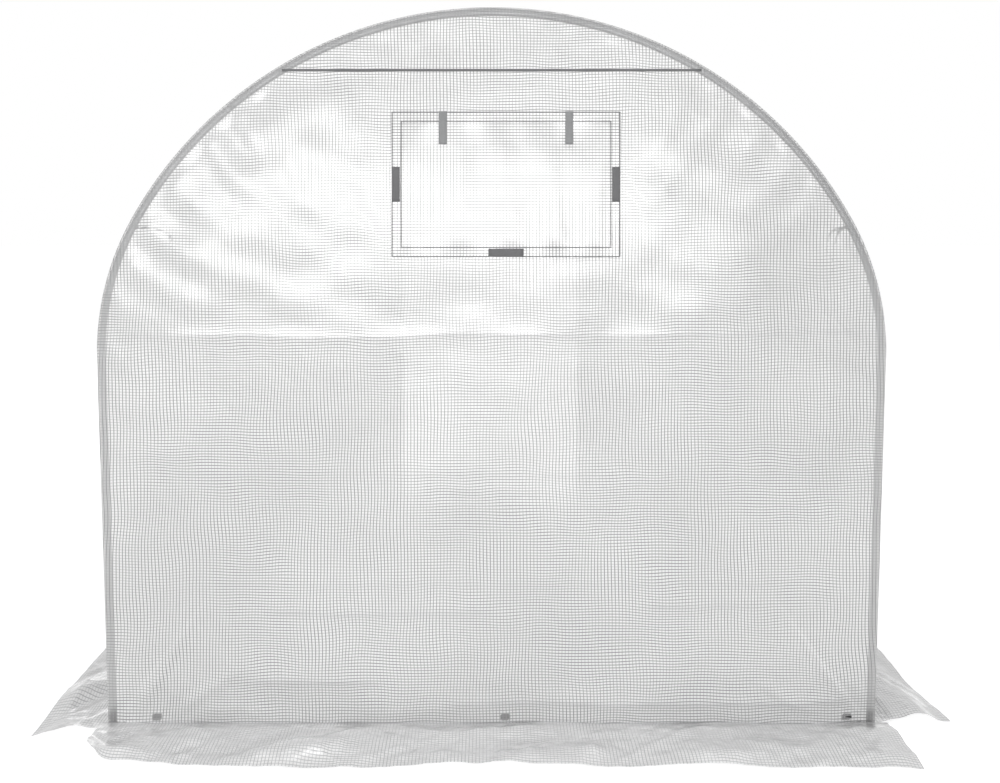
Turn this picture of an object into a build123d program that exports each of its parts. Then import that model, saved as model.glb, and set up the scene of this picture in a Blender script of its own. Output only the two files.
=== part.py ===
from build123d import *

import os
from math import cos, degrees, radians, sin, tan

os.makedirs("parts", exist_ok=True)

# Walk-in polytunnel, in millimetres. +Z is up and z = 0 is the ground. The tunnel runs along Y, with its
# window end at -Y and its door end at +Y. The origin is on the ground under the middle of the tunnel.

# Hoops: three bent steel hoops, each made of a crown tube, two haunch tubes and two legs
hoop_pitch = 1000
hoop_height = 2000
hoop_tube_d = 25
hoop_tube_wall = 1.2
tube_sides = 8
ring_sides = 16
crown_bend_r = 1135.5
crown_bend_half_angle = 60.7
haunch_bend_r = 742.5
leg_lean = 1.8
haunch_tail = 36
crown_tube_half_angle = 40
swage_length = 45
swage_shoulder = 3
swage_clearance = 0.15

# Straight tubes that tie the hoops together
tie_tube_d = 19
tie_tube_wall = 1.0
purlin_overhang = 10
side_purlin_drop = 51
brace_top_drop = 91
brace_foot_z = 78
brace_tongue_t = 3
brace_tongue_w = 24
brace_tongue_length = 34
brace_taper_length = 40
brace_bolt_d = 6.5
contact_gap = 0.1

# Base: a foot joint under each leg and rails just above the ground
foot_joint_height = 40
foot_plug_length = 35
foot_arm_reach = 38
rail_plug_length = 24
base_rail_z = 25
base_clip_left_inset = 122
base_clip_middle_x = 38
base_clip_right_inset = 65
base_clip_width = 30
base_clip_t = 3
base_clip_mouth = 14

# Cover: reinforced film, modelled thicker than the real film so that it is a sound solid
film_t = 2.0
seam_drop = 174
end_skirt_width = 227
side_skirt_width = 200

# Window in the end wall: an opening with a net behind it and a flap in front of it
end_window_x = 40
end_window_drop = 492
end_flap_width = 638
end_flap_height = 406
flap_border = 30
net_border = 5
net_t = 1.0
tape_tab_length = 98
tape_tab_width = 22
tape_tab_t = 1.0
tape_tab_inset = 2
strap_width = 22
strap_length = 92
strap_t = 1.5
strap_spacing = 352

# Windows in the side walls, one in the middle of each bay
side_window_drop = 333
side_flap_width = 490
side_flap_height = 354

# Doorway in the far end, with its door rolled up above it
doorway_width = 861
doorway_drop = 310
zip_width = 26
zip_t = 1.5
zip_foot_z = 20
door_roll_lift = 54
door_roll_d = 76
door_roll_length = 861
door_tie_spacing = 520
door_tie_width = 25
door_tie_t = 2

# Tapes that tie the cover to the first hoop
tape_angle = 62
tape_width = 15
tape_t = 1.2
tape_tail_length = 110

# Values that follow from the sizes above
hoop_tube_r = hoop_tube_d / 2
tie_tube_r = tie_tube_d / 2
ring_turn = 180 / ring_sides
hoop_bore_r = hoop_tube_r - hoop_tube_wall
tie_bore_r = tie_tube_r - tie_tube_wall
swage_r = hoop_bore_r - swage_clearance
swage_bore_r = swage_r - hoop_tube_wall
bays = 2
frame_length = bays * hoop_pitch
hoops = {
    "window_end": -frame_length / 2,
    "middle": 0,
    "door_end": frame_length / 2,
}
bay_centres = [(bay - bays / 2 + 0.5) * hoop_pitch for bay in range(bays)]
film_inside = hoop_tube_r + contact_gap
film_outside = film_inside + film_t
end_face = frame_length / 2 + film_inside
seam_z = hoop_height - seam_drop
end_window_z = hoop_height - end_window_drop
doorway_height = hoop_height - doorway_drop
crown_centre_z = hoop_height - hoop_tube_r - crown_bend_r
bend_centre_x = (crown_bend_r - haunch_bend_r) * sin(radians(crown_bend_half_angle))
bend_centre_z = crown_centre_z + (crown_bend_r - haunch_bend_r) * cos(radians(crown_bend_half_angle))
spring_angle = 90 + leg_lean
lean_cos = cos(radians(leg_lean))
lean_sin = sin(radians(leg_lean))


def on_crown(angle, off=0, side=1):
    """Point of the crown arc at an angle from the vertical, moved outward by off, in the hoop's plane."""
    a = radians(angle)
    return (side * (crown_bend_r + off) * sin(a), crown_centre_z + (crown_bend_r + off) * cos(a))


def on_haunch(angle, off=0, side=1):
    """Point of the haunch arc at an angle from the vertical, moved outward by off."""
    a = radians(angle)
    return (
        side * (bend_centre_x + (haunch_bend_r + off) * sin(a)),
        bend_centre_z + (haunch_bend_r + off) * cos(a),
    )


def on_leg(z, off=0, side=1):
    """Point at height z of the line that runs off outward of the leg's centre line."""
    spring_x, spring_z = on_haunch(spring_angle)
    centre_x = spring_x - (spring_z - z) * tan(radians(leg_lean))
    return (side * (centre_x + off / lean_cos), z)


def hoop_plane(y):
    """Vertical plane across the tunnel at y, with local x along +X and local y along +Z."""
    return Plane(origin=(0, y, 0), x_dir=(1, 0, 0), z_dir=(0, -1, 0))


def wall_plane(side, z, off):
    """Plane along a side wall, off outward of the leg line at height z, facing out of the tunnel."""
    x, _ = on_leg(z, off, side)
    return Plane(origin=(x, 0, z), x_dir=(0, side, 0), z_dir=(side * lean_cos, 0, -lean_sin))


def leg_plane(y, side, z):
    """Plane square to a leg's centre line at height z, facing up the leg."""
    x, _ = on_leg(z, 0, side)
    return Plane(origin=(x, y, z), x_dir=(0, 1, 0), z_dir=(side * lean_sin, 0, lean_cos))


def tube_section(plane, outer_r, bore_r=0):
    """Section of a tube or plug on a plane, as a ring of flat sides with two corners along local x."""
    with BuildSketch(plane) as section:
        RegularPolygon(outer_r, tube_sides)
        if bore_r:
            RegularPolygon(bore_r, tube_sides, mode=Mode.SUBTRACT)
    return section.sketch


def bend_plane(path):
    """Plane square to the start of a path that lies across the tunnel."""
    return Plane(origin=path @ 0, x_dir=(0, 1, 0), z_dir=path % 0)


# Heights that are set from the springing line, where the haunches pass into the legs
spring_z = on_haunch(spring_angle)[1]
tail_end_z = spring_z - haunch_tail * lean_cos
side_purlin_z = spring_z - side_purlin_drop
brace_top_z = spring_z - brace_top_drop
side_window_z = spring_z - side_window_drop


def keep(part, name):
    """Names a finished piece and writes it to its own file."""
    part.label = name
    export_step(part, f"parts/{name}.step")


# Crown tube of a hoop: one arc over the ridge, open at both ends to take the swaged haunches
def crown_tube(y):
    with BuildPart() as tube:
        with BuildLine(hoop_plane(y)) as path:
            ThreePointArc(
                on_crown(crown_tube_half_angle, side=-1),
                on_crown(0),
                on_crown(crown_tube_half_angle),
            )
        sweep(tube_section(bend_plane(path.line), hoop_tube_r, hoop_bore_r), path=path.line)
    return tube.part


# Haunch tubes of a hoop: bent from the crown's curve into the line of the leg. The upper end is swaged
# down to enter the crown tube.
def haunch_tubes(y):
    swage_angle = degrees(swage_length / crown_bend_r)
    shoulder_angle = degrees(swage_shoulder / crown_bend_r)
    shoulder_r = hoop_bore_r + hoop_tube_wall / 2
    with BuildPart() as tubes:
        for side in (-1, 1):
            with BuildLine(hoop_plane(y)) as bend:
                first = ThreePointArc(
                    on_crown(crown_tube_half_angle, side=side),
                    on_crown((crown_tube_half_angle + crown_bend_half_angle) / 2, side=side),
                    on_crown(crown_bend_half_angle, side=side),
                )
                second = ThreePointArc(
                    first @ 1,
                    on_haunch((crown_bend_half_angle + spring_angle) / 2, side=side),
                    on_haunch(spring_angle, side=side),
                )
                Line(second @ 1, on_leg(tail_end_z, side=side))
            sweep(tube_section(bend_plane(bend.line), hoop_tube_r, hoop_bore_r), path=bend.line)
            for start, end, outer_r in (
                (crown_tube_half_angle + shoulder_angle, crown_tube_half_angle - swage_angle, swage_r),
                (crown_tube_half_angle, crown_tube_half_angle + shoulder_angle, shoulder_r),
            ):
                with BuildLine(hoop_plane(y)) as spigot:
                    ThreePointArc(
                        on_crown(start, side=side),
                        on_crown((start + end) / 2, side=side),
                        on_crown(end, side=side),
                    )
                sweep(tube_section(bend_plane(spigot.line), outer_r, swage_bore_r), path=spigot.line)
    return tubes.part


# Legs of a hoop: straight tubes, swaged at the top to enter the haunches
def leg_tubes(y):
    leg_length = (tail_end_z - foot_joint_height) / lean_cos
    with BuildPart() as tubes:
        for side in (-1, 1):
            foot = leg_plane(y, side, foot_joint_height)
            shoulder_at = leg_length - swage_shoulder
            extrude(tube_section(foot, hoop_tube_r, hoop_bore_r), amount=shoulder_at)
            extrude(tube_section(foot.offset(shoulder_at), hoop_tube_r, swage_bore_r), amount=swage_shoulder)
            extrude(tube_section(foot.offset(leg_length), swage_r, swage_bore_r), amount=swage_length)
    return tubes.part


for hoop_name, hoop_y in hoops.items():
    keep(crown_tube(hoop_y), f"{hoop_name}_hoop_crown")
    keep(haunch_tubes(hoop_y), f"{hoop_name}_hoop_haunches")
    keep(leg_tubes(hoop_y), f"{hoop_name}_hoop_legs")

# Ridge purlin: a straight tube under the tops of the hoops
ridge_purlin_z = hoop_height - hoop_tube_d - contact_gap - tie_tube_r
purlin_length = frame_length + 2 * purlin_overhang
with BuildPart() as ridge_purlin:
    ridge_start = Plane(origin=(0, purlin_length / 2, ridge_purlin_z), z_dir=(0, -1, 0))
    extrude(tube_section(ridge_start, tie_tube_r, tie_bore_r), amount=purlin_length)
keep(ridge_purlin.part, "ridge_purlin")

# Side purlins: straight tubes against the inside of the legs
purlin_off = -(hoop_tube_r + contact_gap + tie_tube_r)
with BuildPart() as side_purlins:
    for side in (-1, 1):
        purlin_x, _ = on_leg(side_purlin_z, purlin_off, side)
        purlin_start = Plane(origin=(purlin_x, purlin_length / 2, side_purlin_z), z_dir=(0, -1, 0))
        extrude(tube_section(purlin_start, tie_tube_r, tie_bore_r), amount=purlin_length)
keep(side_purlins.part, "side_purlins")

# Wind braces: one on each side of the window bay, from high on the end hoop to the foot of the middle
# hoop. Their ends are pressed flat against the inside of the legs and drilled for a bolt.
brace_off = -(hoop_tube_r + contact_gap + brace_tongue_t / 2)
corner_angles = [radians(360 * corner / tube_sides) for corner in range(tube_sides)]
pressed_corners = [(brace_tongue_t / 2 * cos(a), brace_tongue_w / 2 * sin(a)) for a in corner_angles]
with BuildPart() as wind_braces:
    for side in (-1, 1):
        top_x, _ = on_leg(brace_top_z, brace_off, side)
        foot_x, _ = on_leg(brace_foot_z, brace_off, side)
        top = Vector(top_x, hoops["window_end"], brace_top_z)
        foot = Vector(foot_x, hoops["middle"], brace_foot_z)
        along = (foot - top).normalized()
        outward = Vector(side * lean_cos, 0, -lean_sin)
        span = (foot - top).length
        tongue_end = brace_tongue_w / 2
        taper_start = brace_tongue_length - tongue_end
        tube_start = taper_start + brace_taper_length
        for bolt, way in ((top, along), (foot, -along)):
            tongue = Plane(origin=bolt, x_dir=way, z_dir=outward)
            with BuildSketch(tongue.offset(-brace_tongue_t / 2)):
                Circle(tongue_end)
                with Locations((taper_start / 2, 0)):
                    Rectangle(taper_start, brace_tongue_w)
                Circle(brace_bolt_d / 2, mode=Mode.SUBTRACT)
            extrude(amount=brace_tongue_t)
            with BuildSketch(Plane(origin=bolt + way * taper_start, x_dir=outward, z_dir=way)):
                Polygon(*pressed_corners)
            with BuildSketch(Plane(origin=bolt + way * tube_start, x_dir=outward, z_dir=way)):
                RegularPolygon(tie_tube_r, tube_sides)
            loft(ruled=True)
        tube_top = Plane(origin=top + along * tube_start, x_dir=outward, z_dir=along)
        extrude(tube_section(tube_top, tie_tube_r, tie_bore_r), amount=span - 2 * tube_start)
keep(wind_braces.part, "wind_braces")

# Foot joints: a block flush with the leg above it, with a plug up into the leg and an arm with a plug for
# each rail that meets it there
plug_r = tie_bore_r - swage_clearance
with BuildPart() as foot_joints:
    for hoop_name, hoop_y in hoops.items():
        for side in (-1, 1):
            foot_x, _ = on_leg(base_rail_z, 0, side)
            arm_start = (foot_x, hoop_y, base_rail_z)
            arms = []
            if hoop_name != "door_end":
                arms.append(Plane(origin=arm_start, z_dir=(0, 1, 0)))
            if hoop_name != "window_end":
                arms.append(Plane(origin=arm_start, z_dir=(0, -1, 0)))
            if hoop_name == "window_end":
                arms.append(Plane(origin=arm_start, z_dir=(-side, 0, 0)))
            with BuildPart(mode=Mode.PRIVATE) as joint:
                block_length = (foot_joint_height + hoop_tube_r) / lean_cos
                leg_foot = leg_plane(hoop_y, side, foot_joint_height)
                extrude(tube_section(leg_plane(hoop_y, side, -hoop_tube_r), hoop_tube_r), amount=block_length)
                extrude(tube_section(leg_foot, swage_r), amount=foot_plug_length)
                for arm in arms:
                    extrude(tube_section(arm, tie_tube_r), amount=foot_arm_reach)
                    extrude(tube_section(arm.offset(foot_arm_reach), plug_r), amount=rail_plug_length)
                split(bisect_by=Plane.XY, keep=Keep.TOP)
            add(joint.part)
keep(foot_joints.part, "foot_joints")

# Side base rails: a tube from joint to joint in each bay, on both sides
with BuildPart() as side_base_rails:
    for bay_y in bay_centres:
        rail_start_y = bay_y - hoop_pitch / 2 + foot_arm_reach
        for side in (-1, 1):
            rail_x, _ = on_leg(base_rail_z, 0, side)
            rail_start = Plane(origin=(rail_x, rail_start_y, base_rail_z), z_dir=(0, 1, 0))
            extrude(
                tube_section(rail_start, tie_tube_r, tie_bore_r),
                amount=hoop_pitch - 2 * foot_arm_reach,
            )
keep(side_base_rails.part, "side_base_rails")

# End base rail: a tube between the feet of the window end's hoop
end_rail_half = on_leg(base_rail_z)[0] - foot_arm_reach
with BuildPart() as window_end_base_rail:
    end_rail_start = Plane(origin=(-end_rail_half, hoops["window_end"], base_rail_z), z_dir=(1, 0, 0))
    extrude(tube_section(end_rail_start, tie_tube_r, tie_bore_r), amount=2 * end_rail_half)
keep(window_end_base_rail.part, "window_end_base_rail")

# Base clips: open rings that snap on to the end base rail, one near each foot and one near the middle
rail_end_x = on_leg(base_rail_z)[0]
base_clip_xs = (
    base_clip_left_inset - rail_end_x,
    base_clip_middle_x,
    rail_end_x - base_clip_right_inset,
)
with BuildPart() as base_clips:
    for clip_x in base_clip_xs:
        with BuildSketch(Plane.YZ.offset(clip_x - base_clip_width / 2)):
            with Locations((hoops["window_end"], base_rail_z)):
                RegularPolygon(
                    tie_tube_r + base_clip_t,
                    ring_sides,
                    major_radius=False,
                    rotation=ring_turn,
                )
                RegularPolygon(
                    tie_tube_r,
                    ring_sides,
                    major_radius=False,
                    rotation=ring_turn,
                    mode=Mode.SUBTRACT,
                )
            with Locations((hoops["window_end"] + tie_tube_r, base_rail_z)):
                Rectangle(tie_tube_d, base_clip_mouth, mode=Mode.SUBTRACT)
        extrude(amount=base_clip_width)
keep(base_clips.part, "base_clips")

# Roof cover: film bent over the hoops from one springing line to the other
with BuildPart() as roof_cover:
    with BuildSketch(Plane.XZ.offset(-end_face)):
        with BuildLine():
            for off in (film_inside, film_outside):
                ThreePointArc(
                    on_crown(crown_bend_half_angle, off, -1),
                    on_crown(0, off),
                    on_crown(crown_bend_half_angle, off),
                )
                for side in (-1, 1):
                    ThreePointArc(
                        on_crown(crown_bend_half_angle, off, side),
                        on_haunch((crown_bend_half_angle + spring_angle) / 2, off, side),
                        on_haunch(spring_angle, off, side),
                    )
            for side in (-1, 1):
                Line(on_haunch(spring_angle, film_inside, side), on_haunch(spring_angle, film_outside, side))
        make_face()
    extrude(amount=2 * end_face)
keep(roof_cover.part, "roof_cover")


# Side wall cover: film down the legs to the ground, cut open for the windows
def wall_cover(side):
    with BuildPart() as cover:
        with BuildSketch(Plane.XZ.offset(-end_face)):
            with BuildLine():
                Polyline(
                    on_leg(0, film_inside, side),
                    on_leg(0, film_outside, side),
                    on_haunch(spring_angle, film_outside, side),
                    on_haunch(spring_angle, film_inside, side),
                    close=True,
                )
            make_face()
        extrude(amount=2 * end_face)
        with BuildSketch(wall_plane(side, side_window_z, film_inside)):
            with GridLocations(hoop_pitch, 0, bays, 1):
                Rectangle(side_flap_width - 2 * flap_border, side_flap_height - 2 * flap_border)
        extrude(amount=film_t, mode=Mode.SUBTRACT)
    return cover.part


# Nets behind the openings of a side wall, and flaps in front of them
def wall_window_nets(side):
    with BuildPart() as nets:
        with BuildSketch(wall_plane(side, side_window_z, film_inside)):
            with GridLocations(hoop_pitch, 0, bays, 1):
                Rectangle(
                    side_flap_width - 2 * (flap_border - net_border),
                    side_flap_height - 2 * (flap_border - net_border),
                )
        extrude(amount=-net_t)
    return nets.part


def wall_window_flaps(side):
    with BuildPart() as flaps:
        with BuildSketch(wall_plane(side, side_window_z, film_outside)):
            with GridLocations(hoop_pitch, 0, bays, 1):
                Rectangle(side_flap_width, side_flap_height)
        extrude(amount=film_t)
    return flaps.part


# Skirt along a side wall: loose film that lies on the ground
def side_skirt(side):
    inner_x, _ = on_leg(film_t, film_outside)
    with BuildPart() as skirt:
        with BuildSketch():
            with Locations((side * (inner_x + side_skirt_width / 2), 0)):
                Rectangle(side_skirt_width, frame_length)
        extrude(amount=film_t)
    return skirt.part


for side_name, side in (("left", -1), ("right", 1)):
    keep(wall_cover(side), f"{side_name}_wall_cover")
    keep(wall_window_nets(side), f"{side_name}_window_nets")
    keep(wall_window_flaps(side), f"{side_name}_window_flaps")
    keep(side_skirt(side), f"{side_name}_skirt")

# Outline of the end walls, which close the tunnel across the outer edge of its cover
with BuildSketch() as end_outline:
    with BuildLine():
        ThreePointArc(
            on_crown(crown_bend_half_angle, film_outside, -1),
            on_crown(0, film_outside),
            on_crown(crown_bend_half_angle, film_outside),
        )
        for side in (-1, 1):
            ThreePointArc(
                on_crown(crown_bend_half_angle, film_outside, side),
                on_haunch((crown_bend_half_angle + spring_angle) / 2, film_outside, side),
                on_haunch(spring_angle, film_outside, side),
            )
            Line(on_haunch(spring_angle, film_outside, side), on_leg(0, film_outside, side))
        Line(on_leg(0, film_outside, -1), on_leg(0, film_outside))
    make_face()

# Window end: a gable above the seam and a wall below it with the window cut through
window_end_inside = hoop_plane(-end_face)
with BuildPart() as window_end_gable:
    with BuildSketch(window_end_inside):
        add(end_outline.sketch)
    extrude(amount=film_t)
    split(bisect_by=Plane.XY.offset(seam_z), keep=Keep.TOP)
keep(window_end_gable.part, "window_end_gable")

with BuildPart() as window_end_wall:
    with BuildSketch(window_end_inside):
        add(end_outline.sketch)
        with Locations((end_window_x, end_window_z)):
            Rectangle(
                end_flap_width - 2 * flap_border,
                end_flap_height - 2 * flap_border,
                mode=Mode.SUBTRACT,
            )
    extrude(amount=film_t)
    split(bisect_by=Plane.XY.offset(seam_z), keep=Keep.BOTTOM)
keep(window_end_wall.part, "window_end_wall")

with BuildPart() as end_window_net:
    with BuildSketch(window_end_inside):
        with Locations((end_window_x, end_window_z)):
            Rectangle(
                end_flap_width - 2 * (flap_border - net_border),
                end_flap_height - 2 * (flap_border - net_border),
            )
    extrude(amount=-net_t)
keep(end_window_net.part, "end_window_net")

with BuildPart() as end_window_flap:
    with BuildSketch(window_end_inside.offset(film_t)):
        with Locations((end_window_x, end_window_z)):
            Rectangle(end_flap_width, end_flap_height)
    extrude(amount=film_t)
keep(end_window_flap.part, "end_window_flap")

# Touch tape on the wall behind the flap's border: one strip on each side and one at the bottom
tab_off = tape_tab_inset + tape_tab_width / 2
with BuildPart() as end_window_tabs:
    with BuildSketch(window_end_inside):
        with Locations(
            (end_window_x - end_flap_width / 2 + tab_off, end_window_z),
            (end_window_x + end_flap_width / 2 - tab_off, end_window_z),
        ):
            Rectangle(tape_tab_width, tape_tab_length)
        with Locations((end_window_x, end_window_z - end_flap_height / 2 + tab_off)):
            Rectangle(tape_tab_length, tape_tab_width)
    extrude(amount=-tape_tab_t)
keep(end_window_tabs.part, "end_window_tabs")

# Straps that hold the flap when it is rolled up, hanging from its upper edge
with BuildPart() as end_window_straps:
    with BuildSketch(window_end_inside.offset(2 * film_t)):
        with Locations((end_window_x, end_window_z + end_flap_height / 2 - strap_length / 2)):
            with GridLocations(strap_spacing, 0, 2, 1):
                Rectangle(strap_width, strap_length)
    extrude(amount=strap_t)
keep(end_window_straps.part, "end_window_straps")

# Door end: a gable, a header over the doorway and a wall on each side of it
door_end_outside = hoop_plane(end_face + film_t)
with BuildPart() as door_end_gable:
    with BuildSketch(door_end_outside):
        add(end_outline.sketch)
    extrude(amount=film_t)
    split(bisect_by=Plane.XY.offset(seam_z), keep=Keep.TOP)
keep(door_end_gable.part, "door_end_gable")

with BuildPart() as door_end_header:
    with BuildSketch(door_end_outside):
        add(end_outline.sketch)
    extrude(amount=film_t)
    split(bisect_by=Plane.XY.offset(seam_z), keep=Keep.BOTTOM)
    split(bisect_by=Plane.XY.offset(doorway_height), keep=Keep.TOP)
keep(door_end_header.part, "door_end_header")

with BuildPart() as door_end_right_wall:
    with BuildSketch(door_end_outside):
        add(end_outline.sketch)
    extrude(amount=film_t)
    split(bisect_by=Plane.XY.offset(doorway_height), keep=Keep.BOTTOM)
    split(bisect_by=Plane.YZ.offset(doorway_width / 2), keep=Keep.TOP)
keep(door_end_right_wall.part, "door_end_right_wall")

with BuildPart() as door_end_left_wall:
    mirror(door_end_right_wall.part, about=Plane.YZ)
keep(door_end_left_wall.part, "door_end_left_wall")

# Zips along both edges of the doorway
with BuildPart() as door_zips:
    with BuildSketch(door_end_outside):
        with Locations((0, (doorway_height + zip_foot_z) / 2)):
            with GridLocations(doorway_width + zip_width, 0, 2, 1):
                Rectangle(zip_width, doorway_height - zip_foot_z)
    extrude(amount=-zip_t)
keep(door_zips.part, "door_zips")

# Door, rolled up on the outside of the header, and the two ties that hold the roll
door_roll_r = door_roll_d / 2
door_roll_y = end_face + film_t + door_tie_t + door_roll_r
door_roll_z = doorway_height + door_roll_lift
with BuildPart() as rolled_door:
    with BuildSketch(Plane.YZ.offset(-door_roll_length / 2)):
        with Locations((door_roll_y, door_roll_z)):
            Circle(door_roll_r)
    extrude(amount=door_roll_length)
keep(rolled_door.part, "rolled_door")

with BuildPart() as door_ties:
    for tie_x in (-door_tie_spacing / 2, door_tie_spacing / 2):
        with BuildSketch(Plane.YZ.offset(tie_x - door_tie_width / 2)):
            with Locations((door_roll_y, door_roll_z)):
                RegularPolygon(door_roll_r + door_tie_t, ring_sides, major_radius=False, rotation=ring_turn)
                RegularPolygon(
                    door_roll_r,
                    ring_sides,
                    major_radius=False,
                    rotation=ring_turn,
                    mode=Mode.SUBTRACT,
                )
        extrude(amount=door_tie_width)
keep(door_ties.part, "door_ties")


# Skirt across an end of the tunnel: loose film that lies on the ground
def end_skirt(y_sign):
    inner_y = end_face + film_t
    skirt_length = 2 * on_leg(0, film_outside)[0]
    with BuildPart() as skirt:
        with BuildSketch():
            with Locations((0, y_sign * (inner_y + end_skirt_width / 2))):
                Rectangle(skirt_length, end_skirt_width)
        extrude(amount=film_t)
    return skirt.part


keep(end_skirt(-1), "window_end_skirt")
keep(end_skirt(1), "door_end_skirt")

# Tie tapes: a loop round each haunch of the first hoop, inside the cover, with a tail that hangs from it
tape_bore_r = hoop_tube_r + contact_gap
tape_r = tape_bore_r + tape_t
tape_y = hoops["window_end"]
with BuildPart() as tie_tapes:
    for side in (-1, 1):
        x, z = on_haunch(tape_angle, 0, side)
        turn = radians(tape_angle)
        loop = Plane(origin=(x, tape_y, z), x_dir=(0, 1, 0), z_dir=(side * cos(turn), 0, -sin(turn)))
        with BuildSketch(loop.offset(-tape_width / 2)):
            Circle(tape_r)
            Circle(tape_bore_r, mode=Mode.SUBTRACT)
            with Locations((0, side * (hoop_tube_r + tape_r))):
                Rectangle(2 * tape_r, 2 * tape_r, mode=Mode.SUBTRACT)
            with Locations((-hoop_tube_r - tape_r, 0), (-tape_r, side * tape_r)):
                Rectangle(2 * tape_r, 2 * tape_r, mode=Mode.SUBTRACT)
        extrude(amount=tape_width)
        tail_x, tail_z = on_haunch(tape_angle, -tape_bore_r - tape_t / 2, side)
        with BuildSketch(hoop_plane(tape_y + tape_width / 2)):
            with Locations((tail_x, tail_z - tape_tail_length / 2)):
                Rectangle(tape_t, tape_tail_length)
        extrude(amount=tape_width)
keep(tie_tapes.part, "tie_tapes")
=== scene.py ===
from math import cos, pi, radians, sin, tan

import bmesh
import bpy
import numpy as np
from bpy.props import FloatProperty, FloatVectorProperty, IntProperty, PointerProperty
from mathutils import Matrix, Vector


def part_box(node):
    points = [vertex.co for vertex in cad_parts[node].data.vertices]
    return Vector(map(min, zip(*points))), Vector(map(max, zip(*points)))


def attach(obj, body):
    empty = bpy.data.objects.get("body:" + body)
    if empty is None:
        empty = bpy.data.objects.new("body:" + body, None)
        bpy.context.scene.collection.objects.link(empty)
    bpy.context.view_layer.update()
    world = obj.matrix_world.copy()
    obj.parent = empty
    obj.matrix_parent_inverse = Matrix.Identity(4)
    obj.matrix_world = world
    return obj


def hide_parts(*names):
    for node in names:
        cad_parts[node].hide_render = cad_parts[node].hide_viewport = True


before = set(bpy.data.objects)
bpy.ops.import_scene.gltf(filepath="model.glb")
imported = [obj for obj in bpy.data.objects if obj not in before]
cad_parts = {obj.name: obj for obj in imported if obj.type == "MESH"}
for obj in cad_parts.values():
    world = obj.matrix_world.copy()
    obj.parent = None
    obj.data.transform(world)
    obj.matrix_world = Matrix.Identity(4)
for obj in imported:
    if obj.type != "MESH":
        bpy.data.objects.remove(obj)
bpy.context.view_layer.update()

bl_info = {
    "name": "Polytunnel",
    "version": (1, 0, 0),
    "blender": (4, 5, 0),
    "location": "View3D > Sidebar > Polytunnel",
    "description": "Dresses a walk-in polytunnel: steel hoops, reinforced film, windows, door and skirts",
    "category": "Add Mesh",
}

# The tunnel runs along Y, with its window end at -Y, and z = 0 is the ground. All lengths are in metres.


def plain_box(corners):
    """The two corners of a box as plain lists of numbers."""
    return [[float(value) for value in corner] for corner in corners]


def low(node):
    """Lowest corner of a node of the frame."""
    return plain_box(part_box(node))[0]


def high(node):
    """Highest corner of a node of the frame."""
    return plain_box(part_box(node))[1]


# Shape of a hoop: a crown arc, two haunch arcs and two leaning legs
HOOP_TUBE_R = 0.0125
HOOP_TUBE_WALL = 0.0012
CROWN_BEND_R = 1.1355
CROWN_BEND_HALF_ANGLE = radians(60.7)
HAUNCH_BEND_R = 0.7425
LEG_LEAN = radians(1.8)
CROWN_TUBE_HALF_ANGLE = radians(40)
SWAGE_LENGTH = 0.045
SWAGE_DEPTH = 0.00135

HOOP_HEIGHT = high("window_end_hoop_crown")[2]
HOOPS = {
    name: (low(f"{name}_hoop_crown")[1] + high(f"{name}_hoop_crown")[1]) / 2
    for name in ("window_end", "middle", "door_end")
}
HOOP_PITCH = HOOPS["middle"] - HOOPS["window_end"]
CROWN_CENTRE_Z = HOOP_HEIGHT - HOOP_TUBE_R - CROWN_BEND_R
BEND_CENTRE_X = (CROWN_BEND_R - HAUNCH_BEND_R) * sin(CROWN_BEND_HALF_ANGLE)
BEND_CENTRE_Z = CROWN_CENTRE_Z + (CROWN_BEND_R - HAUNCH_BEND_R) * cos(CROWN_BEND_HALF_ANGLE)
SPRING_ANGLE = pi / 2 + LEG_LEAN
LEG_JOINT_Z = high("window_end_hoop_legs")[2] - SWAGE_LENGTH * cos(LEG_LEAN)
LEG_FOOT_Z = high("foot_joints")[2] - 0.035

# Cover: the film's middle surface, between the two faces that the frame gives it
FILM_T = 0.002
FILM_OFF = -low("roof_cover")[1] + HOOPS["window_end"] + FILM_T / 2
WINDOW_END_Y = low("window_end_wall")[1] + FILM_T / 2
DOOR_END_Y = high("door_end_header")[1] - FILM_T / 2
SEAM_Z = low("window_end_gable")[2]
FLAP_BORDER = 0.030

PRESS_WIDTH = FILM_OFF + HOOP_TUBE_R
TIE_TUBE_R = 0.0095
TIE_TUBE_WALL = 0.0010
FILM_MAP = "film"
# Attribute for painted shade along creases and at a skirt's wall foot, and for dark stitch lines
SHADE_AND_STITCH_MARK = "crease_shade_and_stitches"
TUBE_MARK = "reach"
FAR_FROM_TUBES = 1.0


def on_crown(angle, off=0.0):
    """Points of the crown arc: x = radius * sin(angle) and z = arc centre + radius * cos(angle), where the
    radius is the bend's plus off."""
    radius = CROWN_BEND_R + off
    return radius * np.sin(angle), CROWN_CENTRE_Z + radius * np.cos(angle)


def on_haunch(angle, off=0.0):
    """Points of the haunch arc on the +X side, by the same rule about the haunch's own arc centre."""
    radius = HAUNCH_BEND_R + off
    return BEND_CENTRE_X + radius * np.sin(angle), BEND_CENTRE_Z + radius * np.cos(angle)


def on_leg(z, off=0.0):
    """Point of the leg line on the +X side at height z: the spring point's x, less the height below it
    times the lean's tangent."""
    spring_x, spring_z = on_haunch(SPRING_ANGLE)
    return spring_x - (spring_z - z) * tan(LEG_LEAN) + off / cos(LEG_LEAN), z


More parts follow.
